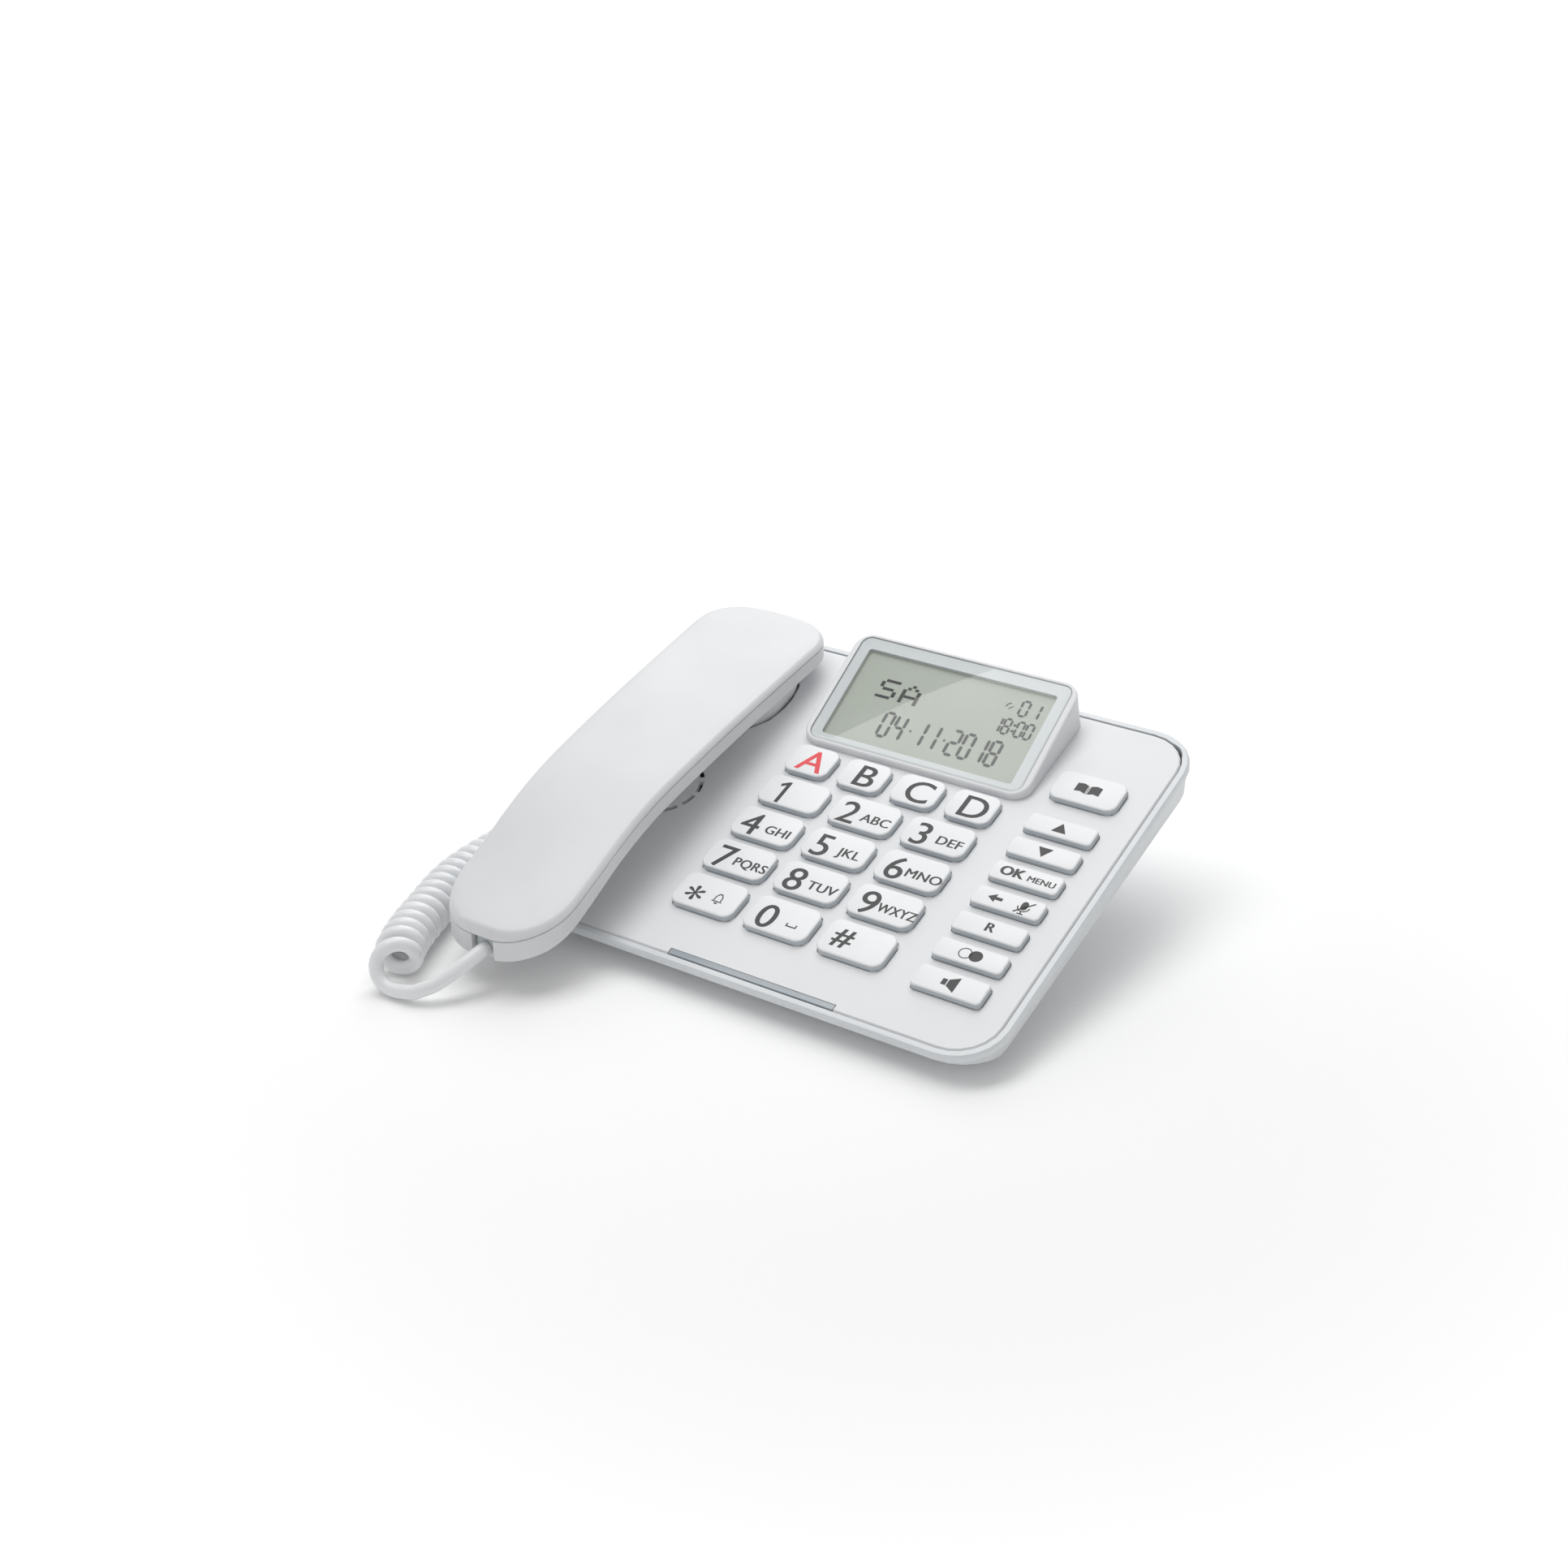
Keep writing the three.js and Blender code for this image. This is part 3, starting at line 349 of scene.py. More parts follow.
def make_materials(looks):
    # ABS, injection moulded in a spark-eroded mould: white, with a fine even grain that softens the light.
    # The real grain is about 0.2 mm and is drawn at 0.7 mm, the finest that still shows.
    materials["abs_grained_white"] = grained("abs_grained_white", looks.case_colour_hex, "#E3E4E6", 0.7 * MM,
                                             0.02 * MM, 0.46, IOR=1.53)
    # ABS of the handset: the same moulding with a slightly smoother skin, so the crown shows a wide soft sheen. Its
    # colour is a darker copy of the case white, painted shade that holds down the stronger light on the raised
    # handset.
    materials["abs_satin_white_painted_shade"] = grained("abs_satin_white_painted_shade", "#E0E1E2", "#DADBDD", 0.9 * MM, 0.012 * MM, 0.42,
                                           IOR=1.53)
    # ABS of the lower shell: a touch greyer, moulded smooth, so the side band looks cooler than the face.
    materials["abs_shell_grey"] = grained("abs_shell_grey", "#DFE2E4", "#D6DADD", 0.9 * MM, 0.012 * MM, 0.4, IOR=1.53)
    # ABS key caps, moulded smooth and satin: whiter top; the greyer skirt is painted shade, a darker copy of the cap
    # material on the key sides.
    materials["abs_key_white"] = grained("abs_key_white", "#EFF0F1", "#E9EAEC", 0.8 * MM, 0.006 * MM, 0.38, IOR=1.53)
    materials["abs_key_grey_and_painted_shade"] = grained("abs_key_grey_and_painted_shade", "#C3C9CD", "#BAC0C5", 0.8 * MM, 0.006 * MM, 0.4, IOR=1.53)
    # Pad-printed ink: matte and dark, slightly uneven in depth of colour.
    materials["ink_charcoal"] = grained("ink_charcoal", "#38383A", "#303032", 0.5 * MM, 0.004 * MM, 0.5)
    materials["ink_red"] = grained("ink_red", "#EA4A50", "#E2424A", 0.5 * MM, 0.004 * MM, 0.5)
    # Polycarbonate light bar, smoked and frosted: lets little light through and scatters it.
    materials["polycarbonate_smoked"] = grained("polycarbonate_smoked", "#A9B1B6", "#9CA5AB", 0.6 * MM, 0.01 * MM,
                                                0.3, IOR=1.58)
    # Acrylic display window, cast and polished: clear, with a crisp reflection that grows towards grazing.
    window = bpy.data.materials.new("acrylic_clear")
    window.use_nodes = True
    tree = window.node_tree
    tree.nodes.clear()
    place = add(tree, "ShaderNodeTexCoord")
    wave = add(tree, "ShaderNodeTexNoise", {"Vector": place.outputs["Object"], "Scale": 12.0, "Detail": 1.0})
    bump = add(tree, "ShaderNodeBump", {"Height": wave.outputs["Fac"], "Strength": 0.05, "Distance": 0.02 * MM})
    clear = add(tree, "ShaderNodeBsdfTransparent", {"Color": linear("#FAFBFB")})
    gloss = add(tree, "ShaderNodeBsdfGlossy", {"Roughness": 0.02, "Normal": bump.outputs["Normal"]})
    edge = add(tree, "ShaderNodeFresnel", {"IOR": 1.49})
    side = add(tree, "ShaderNodeNewGeometry")
    # the inner side doesn't mirror, as light leaves straight through it
    outer = add(tree, "ShaderNodeMath", {0: edge.outputs["Fac"], 1: side.outputs["Backfacing"]}, operation="SUBTRACT",
                use_clamp=True)
    both = add(tree, "ShaderNodeMixShader",
               {0: outer.outputs["Value"], 1: clear.outputs["BSDF"], 2: gloss.outputs["BSDF"]})
    add(tree, "ShaderNodeOutputMaterial", {"Surface": both.outputs["Shader"]})
    materials["acrylic_clear"] = window
    # Painted border on the back of the window: pale, smooth and slightly pearly.
    materials["paint_border"] = grained("paint_border", "#E3E5E6", "#DDDFE1", 0.6 * MM, 0.004 * MM, 0.3)
    # Reflective liquid crystal glass: grey-green and even, with a faint cell texture.
    materials["lcd_reflective"] = grained("lcd_reflective", "#BEC3B7", "#B8BDB0", 0.5 * MM, 0.002 * MM, 0.32)
    materials["lcd_segment"] = grained("lcd_segment", "#34362F", "#2C2E28", 0.5 * MM, 0.002 * MM, 0.4)
    # Natural rubber feet: dark, matte, slightly dusty.
    materials["rubber_black"] = grained("rubber_black", "#2B2B2C", "#353536", 0.6 * MM, 0.03 * MM, 0.85)
    # Silicone keypad mat.
    materials["silicone_grey"] = grained("silicone_grey", "#A9ACAF", "#A1A4A7", 0.8 * MM, 0.01 * MM, 0.7)
    # Glass-fibre board under green solder mask.
    materials["solder_mask_green"] = grained("solder_mask_green", "#2D6A43", "#276039", 0.7 * MM, 0.01 * MM, 0.35)
    # Zinc-plated steel: bright, with fine rolling scratches.
    steel, tree, shader = surface("steel_zinc_plated", "#B9BDC0", Metallic=1.0, Roughness=0.32)
    place = add(tree, "ShaderNodeTexCoord")
    stretch = add(tree, "ShaderNodeMapping", {"Vector": place.outputs["Object"], "Scale": (80.0, 2400.0, 800.0)})
    lines = add(tree, "ShaderNodeTexNoise", {"Vector": stretch.outputs["Vector"], "Scale": 1.0, "Detail": 2.0})
    bump = add(tree, "ShaderNodeBump", {"Height": lines.outputs["Fac"], "Strength": 0.3, "Distance": 0.01 * MM})
    tree.links.new(bump.outputs["Normal"], shader.inputs["Normal"])
    materials["steel_zinc_plated"] = steel
    # Coated paper cone and basket of the driver, near black.
    materials["driver_black"] = grained("driver_black", "#1E1F20", "#27282A", 0.6 * MM, 0.02 * MM, 0.6)
    # Nylon socket body.
    materials["nylon_socket"] = grained("nylon_socket", "#3F4245", "#36393C", 0.6 * MM, 0.01 * MM, 0.45)
    # Clear polycarbonate plug, seen as a cloudy pale block.
    materials["polycarbonate_plug"] = grained("polycarbonate_plug", "#D5DBDD", "#C9D0D3", 0.6 * MM, 0.004 * MM, 0.15,
                                              IOR=1.58)
    # Soft PVC cord jacket, extruded: glossy, with faint waves along it.
    materials["pvc_cord_white"] = grained("pvc_cord_white", "#EEEFF0", "#E5E7E9", 1.4 * MM, 0.01 * MM, 0.24,
                                          spread=0.04, IOR=1.52)


# ---- settings that a user would change ----
class TelephoneLooks(bpy.types.PropertyGroup):
    case_colour: bpy.props.FloatVectorProperty(
        name="Case colour", description="Colour of the moulded face", size=3, subtype="COLOR", min=0, max=1,
        default=linear("#E6E7E8")[:3])
    cord_turn: bpy.props.FloatProperty(
        name="Turn pitch", description="Distance from one turn of the curly cord to the next", unit="LENGTH",
        subtype="DISTANCE", default=5.2 * MM, min=5.05 * MM, max=12 * MM)
    cord_thickness: bpy.props.FloatProperty(
        name="Cord thickness", description="Thickness of the cord jacket", unit="LENGTH", subtype="DISTANCE",
        default=5.0 * MM, min=2 * MM, max=6 * MM)
    cap_edge: bpy.props.FloatProperty(
        name="Cap edge", description="Rounding at the top edge of a key", unit="LENGTH", subtype="DISTANCE",
        default=0.6 * MM, min=0.1 * MM, max=1.6 * MM)
    digit_size: bpy.props.FloatProperty(
        name="Digit size", description="Type size of the printed digits, in millimetres", default=15.2, min=4, max=18)
    letter_size: bpy.props.FloatProperty(
        name="Letter size", description="Type size of the small letters, in millimetres", default=5.7, min=2, max=8)
    edge: bpy.props.FloatProperty(
        name="Moulded edge", description="Radius that softens the edges of the mouldings", unit="LENGTH",
        subtype="DISTANCE", default=0.25 * MM, min=0.05 * MM, max=1 * MM)
    key_light: bpy.props.FloatProperty(
        name="Key light", description="Power of the main softbox", unit="POWER", default=8.6, min=0, max=200)

    @property
    def case_colour_hex(self):
        parts = [p * 12.92 if p <= 0.0031308 else 1.055 * p ** (1 / 2.4) - 0.055 for p in self.case_colour]
        return "#" + "".join(f"{round(p * 255):02X}" for p in parts)


def looks():
    return bpy.context.scene.telephone_looks


# ---- camera ----
class TELEPHONE_OT_camera(bpy.types.Operator):
    """Places the camera at the front right, above the deck"""
    bl_idname = "telephone.camera"
    bl_label = "Camera"

    def execute(self, context):
        start_clean()
        place = Vector((353.4, -567.5, 397.0)) * MM
        forward = Vector((-0.4814, 0.7470, -0.4586))
        bpy.ops.object.camera_add(location=place, rotation=forward.to_track_quat("-Z", "Y").to_euler())
        camera = context.object
        camera.name = "camera_front_right"
        camera.data.sensor_width = 36.0
        camera.data.lens = 51.28
        camera.data.clip_start = 0.02
        camera.data.clip_end = 50
        context.scene.camera = camera
        return {"FINISHED"}


# ---- cord ----
SHIFT = Vector((-19.5, 18.26, 0.0))  # from the key deck's own origin to the shared frame, in millimetres
COIL_X = -91.5
COIL_ROUTE = [(-72, -131, 8.8), (-79.5, -117, 8.8), (-85.5, -99, 8.8), (COIL_X, -76, 8.8), (COIL_X, -50, 8.8),
              (COIL_X + 1, -30, 8.8), (COIL_X + 4, -14, 8.8)]
PLUG_Z = 14.4
LEAD_NEAR = [(-47.5, -113.3, PLUG_Z), (-47.6, -116.3, PLUG_Z - 0.3), (-49.0, -120.5, 12.4), (-51.6, -125.4, 9.6),
             (-55.4, -130.6, 6.4), (-60.4, -134.4, 4.0)]
PULL = 5.5  # the first turn is drawn forward by this much where the lead enters it
LEAD_FAR = [(COIL_X + 14, 10, 3.0), (-62, 21, 7), (-55.3, 24, 11), (-50.6, 24, 11)]


def through(points, steps):
    """A smooth curve through points, steps places for each span."""
    pts = [np.array(p, float) for p in points]
    pts = [2 * pts[0] - pts[1]] + pts + [2 * pts[-1] - pts[-2]]
    out = []
    for i in range(1, len(pts) - 2):
        a, b, c, d = pts[i - 1], pts[i], pts[i + 1], pts[i + 2]
        knots = [0.0]
        for p, q in ((a, b), (b, c), (c, d)):
            knots.append(knots[-1] + max(np.linalg.norm(q - p), 1e-9) ** 0.5)
        t0, t1, t2, t3 = knots
        for k in range(steps):
            t = t1 + (t2 - t1) * k / steps
            a1 = (t1 - t) / (t1 - t0) * a + (t - t0) / (t1 - t0) * b
            a2 = (t2 - t) / (t2 - t1) * b + (t - t1) / (t2 - t1) * c
            a3 = (t3 - t) / (t3 - t2) * c + (t - t2) / (t3 - t2) * d
            b1 = (t2 - t) / (t2 - t0) * a1 + (t - t0) / (t2 - t0) * a2
            b2 = (t3 - t) / (t3 - t1) * a2 + (t - t1) / (t3 - t1) * a3
            out.append((t2 - t) / (t2 - t1) * b1 + (t - t1) / (t2 - t1) * b2)
    out.append(pts[-2])
    return np.array(out)


def evenly(line, step):
    """Points along a line at even steps."""
    run = np.concatenate([[0], np.cumsum(np.linalg.norm(np.diff(line, axis=0), axis=1))])
    at = np.linspace(0, run[-1], max(2, int(round(run[-1] / step)) + 1))
    return np.stack([np.interp(at, run, line[:, k]) for k in range(3)], axis=1)


def cord_line(turn, thickness):
    """The centreline of the whole cord in millimetres: lead, curly part, lead."""
    axis = evenly(through(COIL_ROUTE, 12), 0.25)
    ahead = (axis[1] - axis[0]) / np.linalg.norm(axis[1] - axis[0])
    axis = np.concatenate([[axis[0] - ahead * 2 * PULL], axis])
    run = np.concatenate([[0], np.cumsum(np.linalg.norm(np.diff(axis, axis=0), axis=1))]) - 2 * PULL
    long = run[-1]
    radius = 17 / 2 - thickness / 2 - 0.05
    inset = thickness / 2 + 0.2
    first, last = inset, long - inset
    turns = math.floor((last - first) / turn)
    per_turn = 26
    count = turns * per_turn
    helix = []
    up = np.array([0.0, 0.0, 1.0])
    for i in range(count + 1):
        along = first + (last - first) * i / count
        early = max(0.0, 1 - i / (1.1 * per_turn))
        along -= (PULL + first) * early**2.2
        centre = np.array([np.interp(along, run, axis[:, k]) for k in range(3)])
        ahead = np.array([np.interp(min(along + 0.5, long), run, axis[:, k]) for k in range(3)])
        behind = np.array([np.interp(along - 0.5, run, axis[:, k]) for k in range(3)])
        tangent = (ahead - behind) / np.linalg.norm(ahead - behind)
        side = np.cross(tangent, up)
        side /= np.linalg.norm(side)
        phase = math.radians(-95) - 2 * math.pi * i / per_turn
        helix.append(centre + radius * (math.cos(phase) * side + math.sin(phase) * up))
    lead_in = through(LEAD_NEAR, 8)
    bridge = through([LEAD_NEAR[-2], LEAD_NEAR[-1], helix[0], helix[2]], 8)[8:-8]
    tail_start = helix[-1]
    tail_dir = (helix[-1] - helix[-2]) / np.linalg.norm(helix[-1] - helix[-2])
    lead_out = through([helix[-2], tail_start, tail_start + tail_dir * 5 + np.array([0, 3.0, 0]), *LEAD_FAR], 8)[8:]
    whole = np.concatenate([lead_in[:-1], bridge, np.array(helix[1:-1]), lead_out])
    keep = [0]
    for i in range(1, len(whole)):
        if np.linalg.norm(whole[i] - whole[keep[-1]]) > 0.45:
            keep.append(i)
    return whole[keep]


def tube_mesh(name, line, radius, sides=12):
    """A closed tube of rings round a line, each ring carried on from the one before without twist."""
    n = len(line)
    tangents = np.gradient(line, axis=0)
    tangents /= np.linalg.norm(tangents, axis=1)[:, None]
    normal = np.cross(tangents[0], [0.0, 0.0, 1.0])
    normal /= np.linalg.norm(normal)
    verts = []
    for i in range(n):
        normal = normal - tangents[i] * (normal @ tangents[i])
        normal /= np.linalg.norm(normal)
        other = np.cross(tangents[i], normal)
        for k in range(sides):
            angle = 2 * math.pi * k / sides
            verts.append(line[i] + radius * (math.cos(angle) * normal + math.sin(angle) * other))
    faces = []
    for i in range(n - 1):
        for k in range(sides):
            a, b = i * sides + k, i * sides + (k + 1) % sides
            faces.append((a, b, b + sides, a + sides))
    faces.append(tuple(range(sides))[::-1])
    faces.append(tuple((n - 1) * sides + k for k in range(sides)))
    mesh = bpy.data.meshes.new(name)
    mesh.from_pydata([tuple(v) for v in verts], [], faces)
    mesh.validate()
    obj = bpy.data.objects.new(name, mesh)
    bpy.context.scene.collection.objects.link(obj)
    return finish_mesh(obj, 60)


class TELEPHONE_OT_cord(bpy.types.Operator):
    """Winds the curly handset cord and lays its two straight leads"""
    bl_idname = "telephone.cord"
    bl_label = "Curly cord"

    def execute(self, context):
        props = looks()
        line = cord_line(props.cord_turn / MM, props.cord_thickness / MM)
        line = (line + np.array(SHIFT)) * MM
        obj = tube_mesh("handset_cord", line, props.cord_thickness / 2)
        obj.data.materials.append(materials["pvc_cord_white"])
        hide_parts("cord_coil", "cord_lead_handset", "cord_lead_base")
        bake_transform(obj)
        return {"FINISHED"}


# ---- base ----
class TELEPHONE_OT_shell(bpy.types.Operator):
    """Makes the lower shell with its side bands and stand"""
    bl_idname = "telephone.shell"
    bl_label = "Lower shell"

    def execute(self, context):
        obj = cad_copy("base_shell", "lower_shell", looks().edge * 0.6)
        dress(obj, "abs_shell_grey", "base", "shell_white", "lower_shell")
        return {"FINISHED"}


class TELEPHONE_OT_face(bpy.types.Operator):
    """Makes the face panel with its key openings, sound slots and earpiece cup"""
    bl_idname = "telephone.face"
    bl_label = "Face panel"

    def execute(self, context):
        obj = cad_copy("face_plate", "face_panel", looks().edge * 0.5)
        dress(obj, "abs_grained_white", "base", "case_white", "face_panel")
        return {"FINISHED"}


class TELEPHONE_OT_hood(bpy.types.Operator):
    """Models the wedge hood that carries the display"""
    bl_idname = "telephone.hood"
    bl_label = "Display hood"

    def execute(self, context):
        lo, hi = tilted_box("display_hood", TILT)
        lens_lo, lens_hi = pane_area()
        base = DECK_W + 0.05 * MM
        slope = math.tan(HOOD_TILT - TILT)
        front = DECK_W + 2.35 * MM
        obj = block("hood_wedge", (lo.x, lo.y, base), (hi.x, hi.y, front), 7 * MM, 10)
        # the top leans back: each top vertex rises with its distance from the front
        rows = sorted({round(v.co.y, 7) for v in obj.data.vertices if near(v.co.z, front)})
        for y in rows:
            pick(obj, "VERT", lambda co: near(co.y, y, 2e-7) and co.z > base + MM and co.z < front + 1e-6)
            bpy.ops.transform.translate(value=(0, 0, (y - lo.y) * slope))
            object_mode()
        # rounded lip round the top
        pick(obj, "EDGE", lambda a, b: a.z > base + MM and b.z > base + MM)
        bpy.ops.mesh.bevel(offset=0.9 * MM, segments=4, profile=0.5, affect="EDGES")
        object_mode()
        settle(obj, TILT)
        # pocket for the window, cut square to the sloping top
        top = tilted_box_of(obj, HOOD_TILT)[1].z
        pocket = block("pocket", (lens_lo.x - 0.2 * MM, lens_lo.y - 0.2 * MM, top - 1.15 * MM),
                       (lens_hi.x + 0.2 * MM, lens_hi.y + 0.2 * MM, top + 3 * MM), 4 * MM, 8)
        settle(pocket, HOOD_TILT)
        subtract(obj, pocket)
        well = window_area()
        inner = block("well", (well[0], well[2], top - 4.2 * MM), (well[1], well[3], top + 3 * MM), 1.2 * MM, 4)
        settle(inner, HOOD_TILT)
        subtract(obj, inner)
        soft = obj.modifiers.new("soft", "BEVEL")
        soft.width = 0.2 * MM
        soft.segments = 2
        soft.limit_method = "ANGLE"
        soft.angle_limit = math.radians(50)
        only(obj)
        bpy.ops.object.modifier_apply(modifier="soft")
        even_normals(finish_mesh(obj, 40))
        dress(obj, "abs_grained_white", "base", "case_white", "display_hood")
        return {"FINISHED"}


def tilted_box_of(obj, angle):
    co = np.array([v.co for v in obj.data.vertices], float)
    c, s = math.cos(angle), math.sin(angle)
    turned = np.stack([co[:, 0], co[:, 1] * c + co[:, 2] * s, -co[:, 1] * s + co[:, 2] * c], axis=1)
    return Vector(turned.min(0)), Vector(turned.max(0))


def window_area():
    """Left, right, front and back of the visible display, in the hood's own frame."""
    lo, hi = tilted_box("display_lens", HOOD_TILT)
    return lo.x + 2.8 * MM, hi.x - 1.8 * MM, lo.y + 2.4 * MM, hi.y - 4.4 * MM


def pane_area():
    """Corners of the window pane, which reaches almost to the hood's edge."""
    lo, hi = tilted_box("display_lens", HOOD_TILT)
    return lo - Vector((1.5, 0.4, 0)) * MM, hi + Vector((2.6, 0.5, 0)) * MM


# seven-segment digits: which segments are lit, a top, then clockwise, g middle
LIT = {"0": "abcdef", "1": "bc", "2": "abged", "3": "abgcd", "4": "fgbc", "5": "afgcd", "6": "afgedc", "7": "abc",
       "8": "abcdefg", "9": "abcdfg", "-": "g"}
DOTS = {"S": ["01111", "10000", "10000", "01110", "00001", "00001", "11110"],
        "A": ["00100", "01010", "10001", "10001", "11111", "10001", "10001"]}


def bar(x0, y0, x1, y1, thick):
    """A segment with pointed ends between two places."""
    dx, dy = x1 - x0, y1 - y0
    long = math.hypot(dx, dy)
    ux, uy = dx / long, dy / long
    h = thick / 2
    shape = [(0, 0), (h, h), (long - h, h), (long, 0), (long - h, -h), (h, -h)]
    return [(x0 + ux * a - uy * b, y0 + uy * a + ux * b) for a, b in shape]


def seven(text, x, y, wide, high, thick, pitch, slant=0.14):
    """Outlines of a row of seven-segment characters from its lower left corner."""
    out = []
    gap = thick * 0.18
    for char in text:
        if char == ":":
            for level in (0.3, 0.7):
                cx, cy = x + thick * 0.5, y + high * level
                out.append([(cx + dx * thick * 0.55 + cy_slant(cy, y, slant), cy + dy * thick * 0.55)
                            for dx, dy in ((-1, -1), (1, -1), (1, 1), (-1, 1))])
            x += pitch * 0.42
            continue
        mid = y + high / 2
        ends = {"a": (x, y + high, x + wide, y + high), "b": (x + wide, mid, x + wide, y + high),
                "c": (x + wide, y, x + wide, mid), "d": (x, y, x + wide, y), "e": (x, y, x, mid),
                "f": (x, mid, x, y + high), "g": (x, mid, x + wide, mid)}
        narrow = pitch * 0.62 if char == "-" else pitch
        for seg in LIT[char]:
            x0, y0, x1, y1 = ends[seg]
            if char == "-":
                x0, x1 = x + wide * 0.15, x + wide * 0.6
            run = math.hypot(x1 - x0, y1 - y0)
            sx, sy = (x1 - x0) / run * gap, (y1 - y0) / run * gap
            shape = bar(x0 + sx, y0 + sy, x1 - sx, y1 - sy, thick)
            out.append([(px + cy_slant(py, y, slant), py) for px, py in shape])
        x += narrow
    return out


def cy_slant(py, y, slant):
    return (py - y) * slant


def dot_matrix(char, x, y, cell, tall):
    """Square dots of a five by seven character."""
    out = []
    for row, line in enumerate(DOTS[char]):
        for column, lit in enumerate(line):
            if lit == "1":
                px, py = x + column * cell, y + (6 - row) * tall
                e, f = cell * 0.95, tall * 0.95
                out.append([(px, py), (px + e, py), (px + e, py + f), (px, py + f)])
    return out


def handset_icon(x, y, size):
    arc = [(x + size * math.cos(a), y + size * math.sin(a)) for a in np.linspace(math.radians(100), math.radians(190),
                                                                                 8)]
    inner = [(x + size * 0.72 * math.cos(a), y + size * 0.72 * math.sin(a)) for a in np.linspace(math.radians(190),
        math.radians(100), 8)]
    s = size * 0.16
    cx, cy = x + size * 0.15, y - size * 0.1
    cross = [[(cx - 3 * s, cy - 2 * s), (cx - 2 * s, cy - 3 * s), (cx + 3 * s, cy + 2 * s), (cx + 2 * s, cy + 3 * s)]]
    return [arc + inner] + cross


class TELEPHONE_OT_display(bpy.types.Operator):
    """Builds the display: glass, lit segments, painted border and window"""
    bl_idname = "telephone.display"
    bl_label = "Display"

    def execute(self, context):
        left, right, front, back = window_area()
        lens_lo, lens_hi = pane_area()
        glass_top = lens_lo.z - 1.3 * MM
        glass = block("lcd_glass", (left - MM, front - MM, glass_top - 1.2 * MM), (right + MM, back + MM, glass_top))
        round_level(glass, glass_top, 0.15 * MM, 1)
        settle(glass, HOOD_TILT)
        dress(finish_mesh(glass), "lcd_reflective", "base", "lcd_grey", "lcd_module")
        x0, y0 = left / MM, front / MM
        shapes = seven("04-11-2018", x0 + 19.4, y0 + 5.4, 3.5, 10.4, 1.2, 5.25, 0.0)
        shapes += seven("01", x0 + 65.4, y0 + 28.4, 2.9, 6.4, 0.95, 4.5, 0.0)
        shapes += seven("18:00", x0 + 59.0, y0 + 19.6, 2.5, 6.4, 0.9, 3.6, 0.0)
        shapes += dot_matrix("A", x0 + 20.2, y0 + 21.0, 1.5, 1.2)
        shapes += handset_icon(x0 + 61.6, y0 + 31.0, 1.9)
        marks = flat_outlines("lcd_marks", shapes, 0.06 * MM, glass_top + 0.04 * MM)
        settle(marks, HOOD_TILT)
        dress(marks, "lcd_segment", "base", "lcd_grey")
        dark = flat_outlines("lcd_marks_dark", dot_matrix("S", x0 + 10.8, y0 + 21.0, 1.5, 1.2), 0.06 * MM,
                             glass_top + 0.04 * MM)
        settle(dark, HOOD_TILT)
        dress(dark, "ink_charcoal", "base", "lcd_grey")
        # window with its painted border on the back
        pane = block("display_window", (lens_lo.x, lens_lo.y, lens_lo.z), (lens_hi.x, lens_hi.y, lens_hi.z), 3.6 * MM,
                     8)
        round_level(pane, lens_hi.z, 0.25 * MM, 3)
        settle(pane, HOOD_TILT)
        dress(finish_mesh(pane), "acrylic_clear", "base", "lens_clear", "display_lens")
        border = block("display_border", (lens_lo.x + 0.1 * MM, lens_lo.y + 0.1 * MM, lens_lo.z - 0.09 * MM),
                       (lens_hi.x - 0.1 * MM, lens_hi.y - 0.1 * MM, lens_lo.z - 0.03 * MM), 3.5 * MM, 8)
        hole = block("hole", (left, front, lens_lo.z - MM), (right, back, lens_lo.z + MM), 1.2 * MM, 4)
        subtract(border, hole)
        settle(border, HOOD_TILT)
        dress(finish_mesh(border), "paint_border", "base", "lens_clear")
        return {"FINISHED"}


class TELEPHONE_OT_light_bar(bpy.types.Operator):
    """Models the smoked light bar in the front edge"""
    bl_idname = "telephone.light_bar"
    bl_label = "Light bar"

    def execute(self, context):
        lo, hi = tilted_box("light_bar", TILT)
        obj = block("signal_bar", lo, hi, 0.4 * MM, 3)
        round_level(obj, hi.z, 0.3 * MM, 3)
        settle(obj, TILT)
        dress(finish_mesh(obj), "polycarbonate_smoked", "base", "light_bar_grey", "light_bar")
        return {"FINISHED"}


# ---- keys ----
def key_rect(label):
    lo, hi = tilted_box("key_" + label, TILT)
    flange = 1.0 * MM
    return lo.x + flange, hi.x - flange, lo.y + flange, hi.y - flange, lo.z, hi.z


class TELEPHONE_OT_keys(bpy.types.Operator):
    """Models the key caps, with rounded tops, skirts and hidden flanges"""
    bl_idname = "telephone.keys"
    bl_label = "Key caps"

    def execute(self, context):
        edge = looks().cap_edge
        for label in KEYS:
            x0, x1, y0, y1, z0, z1 = key_rect(label)
            corner = 1.7 * MM if label in SIDE else 3.8 * MM
            obj = block("cap_" + label, (x0, y0, z0 + 0.9 * MM), (x1, y1, z1), corner, 8)
            round_level(obj, z1, edge, 4, 0.42)
            inset_top(obj, z0 + 0.9 * MM, 0.02 * MM, 0)
            # the hidden flange that keeps the cap in its opening
            pick(obj, "FACE", lambda c, n: near(c.z, z0 + 0.9 * MM) and abs(n.z) > 0.99)
            bpy.ops.mesh.extrude_region_move(TRANSFORM_OT_translate={"value": (0, 0, -0.9 * MM)})
            object_mode()
            obj.data.materials.append(materials["abs_key_white"])
            obj.data.materials.append(materials["abs_key_grey_and_painted_shade"])
            # painted shade: every face below the rounded top edge takes the greyer skirt copy of the cap material
            for face in obj.data.polygons:
                face.material_index = 0 if face.center.z > z1 - edge * 0.55 else 1
            settle(obj, TILT)
            finish_mesh(obj, 50)
            dress(obj, None, "key_" + label, "key_white", "key_" + label)
        return {"FINISHED"}


